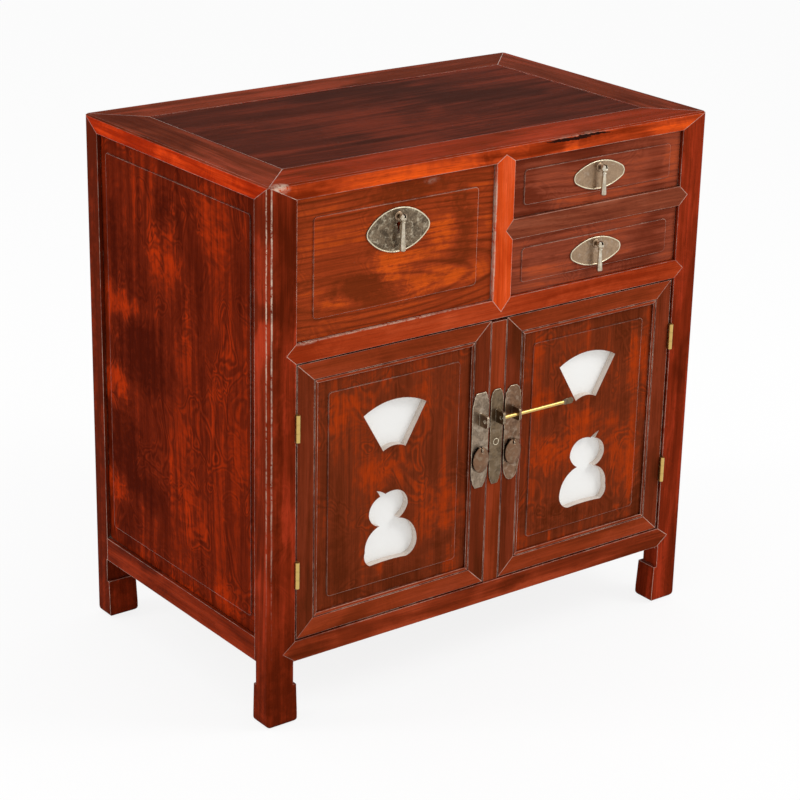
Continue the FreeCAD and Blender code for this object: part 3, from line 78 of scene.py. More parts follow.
# ---------------------------------------------------------------- settings
# Dark, middle and light of each kind of board.
WOODS = {
    "side_panel": ((0.058, 0.0048, 0.001), (0.135, 0.0125, 0.0028), (0.38, 0.027, 0.0024)),
    "back_panel": ((0.058, 0.0048, 0.001), (0.14, 0.011, 0.002), (0.3, 0.022, 0.005)),
    "side_rail": ((0.065, 0.008, 0.003), (0.17, 0.017, 0.004), (0.27, 0.029, 0.008)),
    "top_edge": ((0.2, 0.01, 0.001), (0.34, 0.021, 0.002), (0.7, 0.056, 0.006)),
    "post": ((0.09, 0.0095, 0.002), (0.19, 0.019, 0.0045), (0.38, 0.036, 0.011)),
    "top_panel": ((0.046, 0.0105, 0.0055), (0.078, 0.015, 0.0075), (0.145, 0.023, 0.01)),
    "top_frame": ((0.085, 0.013, 0.004), (0.14, 0.024, 0.0085), (0.26, 0.042, 0.018)),
    "top_front": ((0.125, 0.017, 0.003), (0.225, 0.025, 0.006), (0.32, 0.036, 0.011)),
    "bright_rail": ((0.2, 0.02, 0.003), (0.43, 0.048, 0.009), (0.76, 0.088, 0.009)),
    "divider": ((0.44, 0.034, 0.004), (0.62, 0.07, 0.011), (0.74, 0.11, 0.034)),
    "mid_rail": ((0.23, 0.022, 0.004), (0.35, 0.04, 0.009), (0.5, 0.075, 0.022)),
    "low_rail": ((0.11, 0.015, 0.0035), (0.215, 0.028, 0.0075), (0.34, 0.05, 0.016)),
    "cross_rail": ((0.1, 0.018, 0.008), (0.205, 0.045, 0.02), (0.29, 0.08, 0.04)),
    "door_stile": ((0.085, 0.015, 0.004), (0.144, 0.022, 0.0065), (0.2, 0.032, 0.011)),
    "door_rail": ((0.15, 0.022, 0.005), (0.245, 0.035, 0.009), (0.31, 0.048, 0.016)),
    "door_panel": ((0.095, 0.016, 0.004), (0.16, 0.026, 0.0075), (0.36, 0.037, 0.004)),
    "drawer_front": ((0.15, 0.023, 0.005), (0.29, 0.039, 0.009), (0.56, 0.078, 0.008)),
    "small_front": ((0.13, 0.021, 0.008), (0.24, 0.048, 0.022), (0.39, 0.066, 0.02)),
    "bare": ((0.17, 0.082, 0.038), (0.255, 0.136, 0.066), (0.34, 0.19, 0.095)),
}


def colour(name, description, default):
    return FloatVectorProperty(name=name, description=description, subtype="COLOR", size=3,
                               min=0.0, max=1.0, default=default)


def amount(name, description, default, **rest):
    return FloatProperty(name=name, description=description, default=default, **rest)


def length(name, description, default, **limits):
    return amount(name, description, default, unit="LENGTH", **limits)


def angle(name, description, degrees):
    return amount(name, description, math.radians(degrees), subtype="ANGLE")


def wood_colours():
    """One property for each shade of each kind of board."""
    items = {}
    for kind, tones in WOODS.items():
        title = kind.replace("_", " ")
        for shade, tone in zip(SHADES, tones):
            items[f"{kind}_{shade}"] = colour(f"{title.capitalize()}, {shade}",
                                              f"{shade.capitalize()} of the {title}", tone)
    return items


class WoodSettings(bpy.types.PropertyGroup):
    """Colours and figure of the timber."""
    __annotations__ = {
        **wood_colours(),
        # Colour of the pale edge lines: partly wear, partly painted highlight.
        "rubbed": colour("Rubbed edge", "Where handling has worn the lacquer", (0.78, 0.5, 0.38)),
        "dust": colour("Dust", "Pale wax and dust left in corners", (0.66, 0.52, 0.4)),
        # Also the colour of the painted highlights on the front left post's corner.
        "scuff": colour("Pale marks and highlights", "Pale bruises and old wax at corners", (0.68, 0.52, 0.4)),
        "cut_edge": colour("Cut edge", "Edges of the cut-outs", (0.8, 0.7, 0.62)),
        "arris": length("Arris", "Rounding of the boards' edges", 0.0014, min=0.0, max=0.003),
        # Strength of the edge lines of wear and painted highlight.
        "wear": amount("Painted highlight and abrasion", "How much the edges are rubbed", 0.95, min=0.0, max=1.0,
                       subtype="FACTOR"),
    }


class MetalSettings(bpy.types.PropertyGroup):
    """Colours and small sizes of the fittings."""
    pull: colour("Pull plates", "Plates of the small drawers' pulls", (0.4, 0.27, 0.17))
    dark_pull: colour("Dark pull plate", "Plate of the big drawer's pull", (0.235, 0.172, 0.112))
    rim: colour("Rims", "Bright rims of the pull plates", (0.86, 0.76, 0.55))
    drop: colour("Drops", "Drops of the pulls", (0.72, 0.62, 0.47))
    left_plate: colour("Left lock plate", "Lock plate of the left door", (0.32, 0.24, 0.17))
    centre_plate: colour("Centre lock plate", "Lock plate of the loose stile", (0.195, 0.135, 0.08))
    right_plate: colour("Right lock plate", "Lock plate of the right door", (0.24, 0.135, 0.08))
    pendant: colour("Pendants", "Pendants below the lock", (0.225, 0.122, 0.07))
    # Colour of the pale rims of the lock plates and pendants, partly wear and partly painted
    # highlight, and of the centre plate's ring.
    plate_rim: colour("Rubbed bronze", "Worn rims of the lock plates", (0.84, 0.72, 0.53))
    brass: colour("Yellow brass", "Hinges and lock pin", (0.62, 0.395, 0.12))
    rim_wide: length("Rim", "Width of a pull plate's rim", 0.002, min=0.001, max=0.004)
    big_end: length("Big plate's ends", "Radius of the big pull plate's ends", 0.011, min=0.004)
    small_end: length("Small plates' ends", "Radius of the small pull plates' ends", 0.009,
                      min=0.004)
    boss: length("Boss", "Radius of the boss round a pull's ear", 0.0064, min=0.003, max=0.009)
    stud: length("Stud", "Radius of the ring on the centre plate", 0.0042, min=0.002, max=0.007)


class StudioSettings(bpy.types.PropertyGroup):
    """Camera, floor and lamps."""
    turn: angle("Turn", "Camera's place round the cabinet, from its front", -37.38)
    pitch: angle("Pitch", "How far the camera looks down", 20.8)
    roll: angle("Roll", "Tilt of the camera about its own line of sight", 1.27)
    distance: length("Distance", "Camera to the cabinet's middle", 3.1185)
    slide: length("Slide", "Camera moved to its right", 0.0075)
    lift: length("Lift", "Camera moved to its top", -0.0442)
    lens: amount("Lens", "Focal length in millimetres", 104.4, min=20.0)
    floor: colour("Floor", "Floor of the studio", (0.93, 0.93, 0.93))
    floor_size: length("Floor size", "Across the floor", 26.0)
    sky: amount("Sky", "Soft light from all round", 0.8, min=0.0)
    key: amount("Key lamp", "Power of the lamp at the front right in watts", 26.0, min=0.0)
    side: amount("Side lamp", "Power of the lamp at the left in watts", 20.0, min=0.0)
    paper: amount("Paper", "How far the floor is lit as plain paper", 0.85, min=0.0, max=1.0,
                  subtype="FACTOR")


# ---------------------------------------------------------------- wiring of node trees
class Field:
    """Output of a node, so a value that varies over a surface; arithmetic on it adds Math nodes."""

    def __init__(self, socket):
        self.socket = socket
        self.tree = socket.id_data

    def __add__(self, other):
        return compute("ADD", self, other)

    __radd__ = __add__

    def __sub__(self, other):
        return compute("SUBTRACT", self, other)

    def __rsub__(self, other):
        return compute("SUBTRACT", other, self)

    def __mul__(self, other):
        if is_vector(self) and not is_vector(other):
            return field(self.tree, "ShaderNodeVectorMath", "Vector", {0: self, "Scale": other},
                         operation="SCALE")
        return compute("MULTIPLY", self, other)

    def __truediv__(self, other):
        return compute("DIVIDE", self, other)

    def __pow__(self, other):
        return compute("POWER", self, other)


def is_vector(value):
    return value.socket.type != "VALUE" if isinstance(value, Field) else hasattr(value, "__len__")


def compute(operation, *values, **settings):
    """Math node over fields and plain numbers, or Vector Math node where one is a vector."""
    tree = next(value.tree for value in values if isinstance(value, Field))
    flat = not any(is_vector(value) for value in values)
    output = "Value" if flat or operation in ("LENGTH", "DOT_PRODUCT") else "Vector"
    kind = "ShaderNodeMath" if flat else "ShaderNodeVectorMath"
    return field(tree, kind, output, dict(enumerate(values)), operation=operation, **settings)


def wire(value, socket):
    """A field is linked to the socket; a plain number, vector or colour is set on it."""
    if isinstance(value, Field):
        value.tree.links.new(value.socket, socket)
    elif socket.type == "RGBA":
        socket.default_value = (*value, 1.0)
    else:
        socket.default_value = value


def give(node, sockets):
    for key, value in sockets.items():
        wire(value, node.inputs[key])


def fields(sockets):
    return {socket.name: Field(socket) for socket in sockets}


def add(tree, kind, sockets=None, **settings):
    """A node with its settings, and its inputs set or wired."""
    node = tree.nodes.new(kind)
    for key, value in settings.items():
        setattr(node, key, value)
    give(node, sockets or {})
    return node


def field(tree, kind, output, sockets=None, **settings):
    return Field(add(tree, kind, sockets, **settings).outputs[output])


def blend(factor, first, second):
    # The Mix node's sixth and seventh inputs and second output are its colours.
    return field(factor.tree, "ShaderNodeMix", 2, {"Factor": factor, 6: first, 7: second},
                 data_type="RGBA")


def remap(value, low, high, to_low=0.0, to_high=1.0, smooth=True):
    return field(value.tree, "ShaderNodeMapRange", "Result", {
        "Value": value, "From Min": low, "From Max": high, "To Min": to_low, "To Max": to_high,
    }, interpolation_type="SMOOTHSTEP" if smooth else "LINEAR")


def noise(place, size, detail=2.0, rough=0.5, distortion=0.0, output="Fac"):
    return field(place.tree, "ShaderNodeTexNoise", output, {
        "Vector": place, "Scale": size, "Detail": detail, "Roughness": rough,
        "Distortion": distortion})


def bumped(height, strength, distance, **normal):
    """Normal of a surface with this height; normal is the one it starts from, if there is one."""
    return field(height.tree, "ShaderNodeBump", "Normal",
                 {"Height": height, "Strength": strength, "Distance": distance, **normal})


def new_group(name, inputs, outputs):
    """Empty shader group; gives its inputs as fields by name, and its output node.

    An input's default tells its kind: None is a vector, a triple a colour and a number
    a plain value.
    """
    tree = bpy.data.node_groups.new(name, "ShaderNodeTree")
    for label, default in inputs.items():
        kind = "Vector" if default is None else "Color" if is_vector(default) else "Float"
        socket = tree.interface.new_socket(label, in_out="INPUT", socket_type=f"NodeSocket{kind}")
        if kind != "Vector":
            socket.default_value = (*default, 1.0) if kind == "Color" else default
    for label, kind in outputs.items():
        tree.interface.new_socket(label, in_out="OUTPUT", socket_type=f"NodeSocket{kind}")
    return fields(tree.nodes.new("NodeGroupInput").outputs), tree.nodes.new("NodeGroupOutput")


def place_group(tree, name, sockets):
    return fields(
        add(tree, "ShaderNodeGroup", sockets, node_tree=bpy.data.node_groups[name]).outputs)


# ---------------------------------------------------------------- shared effects
def build_board_figure():
    """Figure of a board grained along Z: clouds, growth lines, streaks, ripple, burr and pores."""
    given, out = new_group("Board Figure", {
        "Board": None, "Heart": None, "Light": (0.5, 0.1, 0.02), "Mid": (0.2, 0.03, 0.01),
        "Dark": (0.05, 0.01, 0.005), "Clouds": 1.0, "Cloud size": 1.0, "Streaks": 1.0, "Lines": 0.3,
        "Ripple": 0.4, "Burr": 0.0, "Lift": 0.0,
    }, {"Color": "Color", "Height": "Float", "Gloss": "Float"})
    board = given["Board"]
    bent = board + (noise(board * (1, 1, 0.4), 4.0, output="Color") - MIDDLE) * 0.06
    # Fine figure first: it feathers the borders of the clouds.
    flecks = noise(bent * (1, 1, 0.2), 26.0, 3.0, 0.6, 0.5)
    streaks = noise(bent * (1, 1, 0.03), 78.0, 4.0, 0.62)
    fibre = noise(board * (1, 1, 0.022), 720.0)
    ripple = noise(bent * (1, 1, 2.2), 40.0, 2.0, 0.6, 0.4)
    far = bent * (1, 1, 0.7) * given["Cloud size"]
    feather = (streaks - 0.5) * 0.16 + (flecks - 0.5) * 0.16
    dark_cloud = remap(noise(far, 7.0, 2.0, 0.5, 0.4) + feather, 0.47, 0.34)
    glow = remap(noise(far + (3.1, 1.7, 5.3), 9.0, 2.0, 0.5, 0.6) + feather, 0.53, 0.7)
    # Growth lines: long ovals round the heart of the log.
    reach = compute("LENGTH", (bent - given["Heart"]) * (1, 1, 0.16))
    wave = compute("SINE", reach * 820.0 + flecks * 7.0) * 0.5 + 0.5
    lines = wave ** 4.0 * remap(flecks, 0.36, 0.62, 0.25, 1.0)
    tone = (streaks - 0.5) * given["Streaks"] + 0.5 + (flecks - 0.5) * given["Streaks"]
    tone = tone - dark_cloud * (given["Clouds"] * 0.62) + glow * (given["Clouds"] * 0.42)
    tone = tone - lines * given["Lines"] + (ripple - 0.5) * (glow + 0.25) * given["Ripple"]
    # Burr: rings that close round small eyes, clearest where the board is light.
    eyes = noise(bent * (1, 1, 0.75), 19.0, 2.0, 0.5, 0.8)
    rings = compute("SINE", eyes * 88.0 + flecks * 9.0) * remap(eyes, 0.48, 0.62, 0.15, 0.6)
    tone = tone + rings * given["Burr"] + given["Lift"]
    # Fine figure stays visible in the lightest and darkest clouds.
    tone = remap(tone, -0.25, 1.25) + (streaks - 0.5) * 0.35
    wood = blend(remap(tone, 0.0, 0.5, smooth=False), given["Dark"], given["Mid"])
    wood = blend(remap(tone, 0.5, 1.0, smooth=False), wood, given["Light"])
    pores = remap(noise(bent * (1, 1, 0.04), 1050.0, 1.0), 0.62, 0.72)
    wood = wood * remap(fibre, 0.3, 0.7, 0.84, 1.14, smooth=False)
    give(out, {
        "Color": blend(pores * 0.5, wood, given["Dark"]),
        "Height": fibre * 0.35 - pores - lines * 0.25,
        "Gloss": remap(streaks, 0.3, 0.7, 0.34, 0.24, smooth=False) + pores * 0.2})


def build_edge_marks_and_painted_light():
    """Pale edge lines, partly wear and partly painted highlight; edges that catch light; painted
    shade and dust in corners; eased edges' normal.
    """
    given, out = new_group("Edge Marks and Painted Light", {"Place": None, "Arris": 0.001, "Breakup": 70.0}, {
        "Highlit and worn": "Float", "Sheen": "Float", "Shade": "Float", "Dust": "Float", "Eased": "Vector"})
    place = given["Place"]
    eased = field(place.tree, "ShaderNodeBevel", "Normal", {"Radius": given["Arris"]}, samples=8)
    plain = field(place.tree, "ShaderNodeNewGeometry", "Normal")
    near = field(place.tree, "ShaderNodeAmbientOcclusion", "AO", {"Distance": 0.006}, samples=8)
    turn = 1.0 - compute("DOT_PRODUCT", eased, plain)
    corner = 1.0 - near
    edge = remap(turn, 0.02, 0.14) * remap(corner, 0.28, 0.5, 1.0, 0.0)
    worn = noise(place, given["Breakup"], 4.0, 0.65) * 0.55 + noise(place, 9.0) * 0.45
    # The pale edge lines are partly wear and partly painted highlight; Shade is painted shade that
    # darkens corners.
    give(out, {
        "Highlit and worn": edge * remap(worn, 0.4, 0.58, 0.18, 1.0),
        "Sheen": edge,
        "Shade": remap(corner, 0.28, 0.75, 1.0, 0.22),
        "Dust": remap(corner, 0.42, 0.7) * remap(worn, 0.5, 0.62),
        "Eased": eased})


def build_split():
    """Narrow split or void along the line from Start to End, seen from the front."""
    given, out = new_group("Split", {
        "Place": None, "Start": None, "End": None, "Half width": 0.0005, "Raggedness": 0.001,
    }, {"Mask": "Float"})
    shake = noise(given["Place"], 160.0, 4.0, 0.7, output="Color") - MIDDLE
    point = given["Place"] + shake * given["Raggedness"] - given["Start"]
    line = given["End"] - given["Start"]
    share = compute("DIVIDE", compute("DOT_PRODUCT", point, line),
                    compute("DOT_PRODUCT", line, line), use_clamp=True)
    away = compute("LENGTH", point - line * share)
    # The split is widest at its middle and closes at both ends.
    width = given["Half width"] * (share * (1.0 - share) * 4.0 + 0.15)
    give(out, {"Mask": compute("LESS_THAN", away, width)})


def build_patch():
    """Soft-edged patch round Centre; Reach goes from its middle to its border each way."""
    given, out = new_group("Patch", {"Place": None, "Centre": None, "Reach": None},
                           {"Mask": "Float"})
    place = given["Place"]
    shake = (noise(place, 26.0, 6.0, 0.68, output="Color") - MIDDLE) * 1.9
    away = compute("LENGTH", (place - given["Centre"]) / given["Reach"] + shake)
    thin = remap(noise(place, 85.0, 4.0, 0.6), 0.35, 0.62, 0.45, 1.0)
    give(out, {"Mask": remap(away, 1.2, 0.2) * thin})


def build_aged_metal():
    """Mottled old metal: stains, pale bloom, specks, pits and hammering."""
    given, out = new_group("Aged Metal", {
        "Place": None, "Bright": (0.5, 0.4, 0.2), "Stained": (0.1, 0.07, 0.04),
        "Bloom": (0.4, 0.38, 0.36), "Stains": 0.5, "Blooming": 0.3, "Hammering": 0.3,
        "Striation": 0.0,
    }, {"Color": "Color", "Roughness": "Float", "Height": "Float"})
    place = given["Place"]
    pits = remap(noise(place, 900.0, 2.0, 0.6), 0.6, 0.72)
    mottle = noise(place, 95.0, 4.0, 0.65, 0.6) * 0.65 + noise(place, 420.0, 3.0, 0.6) * 0.35
    mask = remap(mottle, 0.36, 0.66)
    bloom = remap(noise(place + (0.7, 0.2, 0.4), 130.0, 3.0, 0.6, 0.5), 0.5, 0.68)
    specks = remap(noise(place, 560.0), 0.66, 0.72)
    metal = blend(mask * given["Stains"], given["Bright"], given["Stained"])
    metal = blend(compute("MAXIMUM", bloom, specks) * given["Blooming"], metal, given["Bloom"])
    metal = blend(pits * 0.5, metal, given["Stained"])
    scratches = remap(noise(place * (1, 1, 0.05), 620.0, 3.0, 0.6), 0.35, 0.65, 0.55, 1.15,
                      smooth=False)
    give(out, {
        "Color": metal * ((scratches - 1.0) * given["Striation"] + 1.0),
        "Roughness": remap(mask + pits, 0.0, 1.4, 0.28, 0.58, smooth=False),
        "Height": noise(place, 210.0, 1.0, 0.4) * given["Hammering"] - pits * 0.35})


# ---------------------------------------------------------------- materials
# A material that the file already has under its name, such as one of the frame's own, is
# used as it is.
# Turn that lays a board's own grain along Z.
LAY = {"X": (0.0, math.radians(-90), 0.0), "Y": (math.radians(90), 0.0, 0.0), "Z": (0.0, 0.0, 0.0)}
# Each board of the same kind comes from another part of the log: this far from the last one.
NEXT_CUT = (0.37, 0.61, 0.83)
# Clouds, cloud size, streaks, lines, ripple, burr, specular level, edge wear with painted highlight
# and painted corner shade, dust.
FINISHES = {
    "post": (0.75, 1.4, 1.2, 0.1, 0.3, 0.1, 0.004, 1.0, 0.4),
    "bright_rail": (0.8, 1.6, 1.3, 0.1, 0.5, 0.15, 0.004, 1.0, 0.3),
    "divider": (0.5, 1.6, 1.2, 0.08, 0.3, 0.1, 0.004, 0.8, 0.4),
    "mid_rail": (0.7, 1.2, 1.2, 0.1, 0.3, 0.12, 0.004, 0.8, 0.5),
    "low_rail": (0.8, 1.0, 1.3, 0.1, 0.3, 0.1, 0.004, 0.8, 0.3),
    "cross_rail": (0.8, 1.4, 1.2, 0.1, 0.3, 0.1, 0.007, 0.8, 0.3),
    "side_rail": (0.8, 1.2, 1.2, 0.1, 0.3, 0.1, 0.004, 0.6, 0.2),
    "top_edge": (0.6, 1.2, 1.3, 0.1, 0.3, 0.1, 0.004, 0.5, 0.1),
    "door_stile": (0.7, 1.3, 1.2, 0.08, 0.3, 0.08, 0.004, 0.9, 0.4),
    "door_rail": (0.7, 1.3, 1.2, 0.08, 0.3, 0.08, 0.004, 0.9, 0.4),
    "door_panel": (0.55, 1.0, 0.8, 0.1, 0.8, 0.32, 0.003, 0.5, 0.6),
    "drawer_front": (0.45, 1.0, 0.9, 0.55, 0.8, 0.16, 0.004, 0.7, 0.8),
    "small_front": (0.8, 1.2, 1.1, 0.3, 0.3, 0.2, 0.007, 0.7, 0.5),
    "side_panel": (0.35, 0.8, 0.7, 0.16, 1.0, 0.3, 0.002, 0.4, 0.2),
    "back_panel": (1.0, 0.9, 1.0, 0.2, 0.6, 0.25, 0.006, 0.4, 0.2),
    "top_panel": (0.9, 0.8, 1.3, 0.12, 0.2, 0.12, 0.0008, 0.7, 0.3),
    "top_frame": (0.8, 1.0, 1.3, 0.1, 0.2, 0.1, 0.0008, 0.8, 0.3),
    "top_front": (0.8, 1.0, 1.2, 0.1, 0.3, 0.1, 0.0008, 0.9, 0.3),
    "bare": (0.5, 1.2, 1.0, 0.25, 0.1, 0.0, 0.15, 0.0, 0.0),
}
# Where the heart of the log lies beside a board, for boards whose growth lines show it.
FAR_HEART = (-0.9, 0.3, -0.4)
# Clouds of the side panels: place along Y and Z, reach along Y and Z, and strength.
SIDE_CLOUDS = {
    "left": (
        (0.035, 0.62, 0.035, 0.035, -0.6), (0.165, 0.53, 0.06, 0.09, -0.55),
        (0.1, 0.41, 0.085, 0.055, -0.75), (0.15, 0.27, 0.075, 0.075, -0.75),
        (0.09, 0.215, 0.06, 0.03, -0.45), (0.035, 0.545, 0.06, 0.045, 0.55),
        (0.145, 0.465, 0.07, 0.03, 0.65), (0.165, 0.345, 0.055, 0.035, 0.55),
        (0.15, 0.205, 0.065, 0.03, 0.65), (-0.02, 0.45, 0.07, 0.06, 0.3),
        (-0.11, 0.33, 0.07, 0.18, 0.12), (-0.1, 0.14, 0.04, 0.03, 0.45),
    ),
    "right": (
        (-0.06, 0.56, 0.08, 0.07, -0.65), (0.1, 0.42, 0.06, 0.12, -0.6),
        (-0.03, 0.3, 0.09, 0.06, 0.5), (0.06, 0.2, 0.08, 0.06, -0.6),
        (-0.11, 0.17, 0.05, 0.05, 0.45), (0.08, 0.6, 0.06, 0.05, 0.45),
    ),
}
# Burr clouds of the door panels, as rows of front_patches, and their splits.
DOOR_CLOUDS = {
    "left": (
        (-0.165, 0.31, 0.05, 0.03, 0.6), (-0.085, 0.25, 0.04, 0.05, 0.65),
        (-0.235, 0.385, 0.025, 0.08, 0.3), (-0.11, 0.395, 0.03, 0.06, 0.25),
        (-0.15, 0.15, 0.095, 0.025, -0.5), (-0.24, 0.21, 0.025, 0.065, -0.5),
        (-0.17, 0.462, 0.1, 0.014, -0.4),
    ),
    "right": (
        (0.09, 0.345, 0.032, 0.03, 0.55), (0.108, 0.27, 0.048, 0.036, 0.7),
        (0.24, 0.225, 0.03, 0.05, 0.5), (0.245, 0.37, 0.025, 0.05, 0.4),
        (0.15, 0.46, 0.075, 0.025, -0.45), (0.11, 0.178, 0.07, 0.032, -0.6),
        (0.27, 0.16, 0.03, 0.035, -0.45), (0.165, 0.335, 0.03, 0.018, -0.4),
    ),
}
DOOR_SPLITS = {
    "left": (
        ((-0.1303, -0.197, 0.352), (-0.1287, -0.197, 0.28), 0.0003, 0.0006),
    ),
    "right": (
        ((0.164, -0.197, 0.44), (0.165, -0.197, 0.4), 0.0004, 0.0008),
        ((0.1805, -0.197, 0.345), (0.1855, -0.197, 0.288), 0.0003, 0.0006),
    ),
}
SPLIT_COLOUR = (0.02, 0.006, 0.004)
# How fine the flaking is, and the share of it that stays bare, for scuffs and painted highlights,
# and for specks.
SCUFF_AND_HIGHLIGHT_FLAKES, SPECK_FLAKES = (240.0, 0.38), (330.0, 0.66)


def new_material(name):
    material = bpy.data.materials.new(name)
    material.use_nodes = True
    material.node_tree.nodes.clear()
    return material, material.node_tree


def add_skin(tree, sockets):
    """Principled surface with these inputs, wired to the material's output."""
    surface = field(tree, "ShaderNodeBsdfPrincipled", "BSDF", sockets)
    add(tree, "ShaderNodeOutputMaterial", {"Surface": surface})


def object_place(tree):
    return field(tree, "ShaderNodeTexCoord", "Object")


def patch_mask(place, centre, reach, strength):
    mask = place_group(place.tree, "Patch",
                       {"Place": place, "Centre": centre, "Reach": reach})["Mask"]
    return mask * strength


def wood_material(finish, grain, cut, splits=(), patches=(), scuffs_and_highlights=(), specks=(),
                  heart=FAR_HEART, own=""):
    """Lacquered or bare board; cut chooses which part of the log it comes from.

    Patches (centre, reach, strength) darken or lighten the figure. Scuffs and highlights
    are flaking pale marks, real scuffs and the post's painted highlights alike; specks are pale
    dots, and both are given in the same way. Splits (start, end, half width, raggedness) are dark.
    """
    name = f"wood_{finish}_{grain.lower()}_{cut}{own}"
    if name in bpy.data.materials:
        return bpy.data.materials[name]
    settings = bpy.context.scene.cabinet_wood
    clouds, cloud_size, streaks, lines, ripple, burr, gleam, wear_and_painted_light, dusting = FINISHES[finish]
    dark, middle, light = (getattr(settings, f"{finish}_{shade}") for shade in SHADES)
    material, tree = new_material(name)
    place = object_place(tree)
    # The place and the heart, laid along the grain of this board.
    board, log_heart = (field(tree, "ShaderNodeMapping", "Vector", {
        "Vector": point, "Rotation": LAY[grain], "Location": [step * cut for step in NEXT_CUT],
    }) for point in (place, heart))
    figure = place_group(tree, "Board Figure", {
        "Board": board, "Heart": log_heart, "Light": light, "Mid": middle, "Dark": dark,
        "Clouds": clouds, "Cloud size": cloud_size, "Streaks": streaks, "Lines": lines,
        "Ripple": ripple, "Burr": burr,
        "Lift": sum((patch_mask(place, *patch) for patch in patches), 0.0)})
    worn = place_group(tree, "Edge Marks and Painted Light",
                       {"Place": place, "Arris": settings.arris, "Breakup": 70.0})
    paint, height = figure["Color"], figure["Height"]
    skin = {"Roughness": 0.6, "Specular IOR Level": gleam}
    if wear_and_painted_light:
        # Painted shade darkens the corners; the pale edge lines are partly wear and partly painted
        # highlight; dust lies in corners.
        paint = blend(worn["Highlit and worn"] * (settings.wear * wear_and_painted_light), paint * worn["Shade"],
                      settings.rubbed)
        paint = blend(worn["Dust"] * dusting, paint, settings.dust)
        skin["Coat Weight"] = worn["Sheen"] * 0.9
        skin["Coat Roughness"] = 0.22
        skin["Roughness"] = figure["Gloss"] + worn["Dust"] * 0.3
    for (fineness, bare), marks in ((SCUFF_AND_HIGHLIGHT_FLAKES, scuffs_and_highlights), (SPECK_FLAKES, specks)):
        for mark in marks:
            flaked = remap(noise(place, fineness, 5.0, 0.7), bare, bare + 0.12)
            paint = blend(patch_mask(place, *mark) * flaked, paint, settings.scuff)
    for start, end, half_width, ragged in splits:
        mask = place_group(tree, "Split", {"Place": place, "Start": start, "End": end,
                                           "Half width": half_width, "Raggedness": ragged})["Mask"]
        paint = blend(mask, paint, SPLIT_COLOUR)
        height = height - mask * 4.0
    skin["Base Color"] = paint
    skin["Normal"] = bumped(height, strength=0.35, distance=0.0002, Normal=worn["Eased"])
    add_skin(tree, skin)
    return material


def metal_material(name, base, stained=0.35, bloom=(0.42, 0.37, 0.33), stains=0.7, blooming=0.3,
                   hammering=0.3, striation=0.0, rubbed=None, arris=0.0011):
    """Old metal; stained is the darkness of its stains beside the base colour."""
    if name in bpy.data.materials:
        return bpy.data.materials[name]
    material, tree = new_material(name)
    place = object_place(tree)
    metal = place_group(tree, "Aged Metal", {
        "Place": place, "Bright": base, "Stained": [part * stained for part in base],
        "Bloom": bloom, "Stains": stains, "Blooming": blooming, "Hammering": hammering,
        "Striation": striation})
    worn = place_group(tree, "Edge Marks and Painted Light", {"Place": place, "Arris": arris, "Breakup": 260.0})
    # Painted shade darkens the corners; the pale edge lines are partly wear and partly painted
    # highlight.
    paint = metal["Color"] * worn["Shade"]
    if rubbed:
        paint = blend(worn["Highlit and worn"], paint, rubbed)
    hammered = bumped(metal["Height"], strength=0.5, distance=0.0004, Normal=worn["Eased"])
    add_skin(tree, {"Base Color": paint, "Metallic": 1.0, "Roughness": metal["Roughness"],
                    "Normal": hammered})
    return material


def yellow_brass():
    brass = bpy.context.scene.cabinet_metal.brass
    return metal_material("yellow_brass", brass, 0.28, (0.8, 0.68, 0.42), 0.75, 0.25, 0.15)


def plain_material(name, paint, roughness, fibre):
    """Matte sheet or cut edge with a faint fibre."""
    if name in bpy.data.materials:
        return bpy.data.materials[name]
    material, tree = new_material(name)
    place = object_place(tree)
    fine = noise(place, 1400.0)
    add_skin(tree, {
        "Base Color": blend(noise(place, 45.0, 3.0, 0.6), paint,
                            [part * (1.0 - fibre) for part in paint]),
        "Roughness": remap(fine, 0.3, 0.7, roughness - 0.05, roughness + 0.05),
        "Normal": bumped(fine, strength=0.2, distance=0.0001), "Specular IOR Level": 0.2})
    return material


# ---------------------------------------------------------------- dressing of carried-over parts
def islands(mesh):
    """Separate solids of a mesh, each as a list of its polygon numbers."""
    corners = [tuple(round(part * GRID) for part in vertex.co) for vertex in mesh.vertices]
    parent = {corner: corner for corner in corners}

    def root(item):
        while parent[item] != item:
            parent[item] = parent[parent[item]]
            item = parent[item]
        return item

    for polygon in mesh.polygons:
        first = root(corners[polygon.vertices[0]])
        for index in polygon.vertices[1:]:
            parent[root(corners[index])] = first
    groups = {}
    for polygon in mesh.polygons:
        groups.setdefault(root(corners[polygon.vertices[0]]), []).append(polygon.index)
    return sorted(groups.values(), key=lambda group: tuple(mesh.polygons[group[0]].center))


def longest_axis(mesh, polygons):
    points = [mesh.vertices[i].co for number in polygons for i in mesh.polygons[number].vertices]
    lengths = [max(p[k] for p in points) - min(p[k] for p in points) for k in range(3)]
    return "XYZ"[lengths.index(max(lengths))]


def dress_boards(names, finish, first_cut=0, cuts=5):
    """Wood on every solid of the named nodes, each with its grain along its own length."""
    count = first_cut
    for name in names:
        mesh = NODES[name].data
        mesh.materials.clear()
        for group in islands(mesh):
            material = wood_material(finish, longest_axis(mesh, group), count % cuts)
            if material.name not in mesh.materials:
                mesh.materials.append(material)
            number = mesh.materials.find(material.name)
            for index in group:
                mesh.polygons[index].material_index = number
            count += 1


def dress(name, material):
    mesh = NODES[name].data
    mesh.materials.clear()
    mesh.materials.append(material)


def repaint(name, material, wanted):
    """A second material on the polygons of a node that wanted(polygon) picks out."""
    mesh = NODES[name].data
    mesh.materials.append(material)
    number = len(mesh.materials) - 1
    for polygon in mesh.polygons:
        if wanted(polygon):
            polygon.material_index = number


def is_edge_of_top(polygon):
    return polygon.normal.z < 0.3


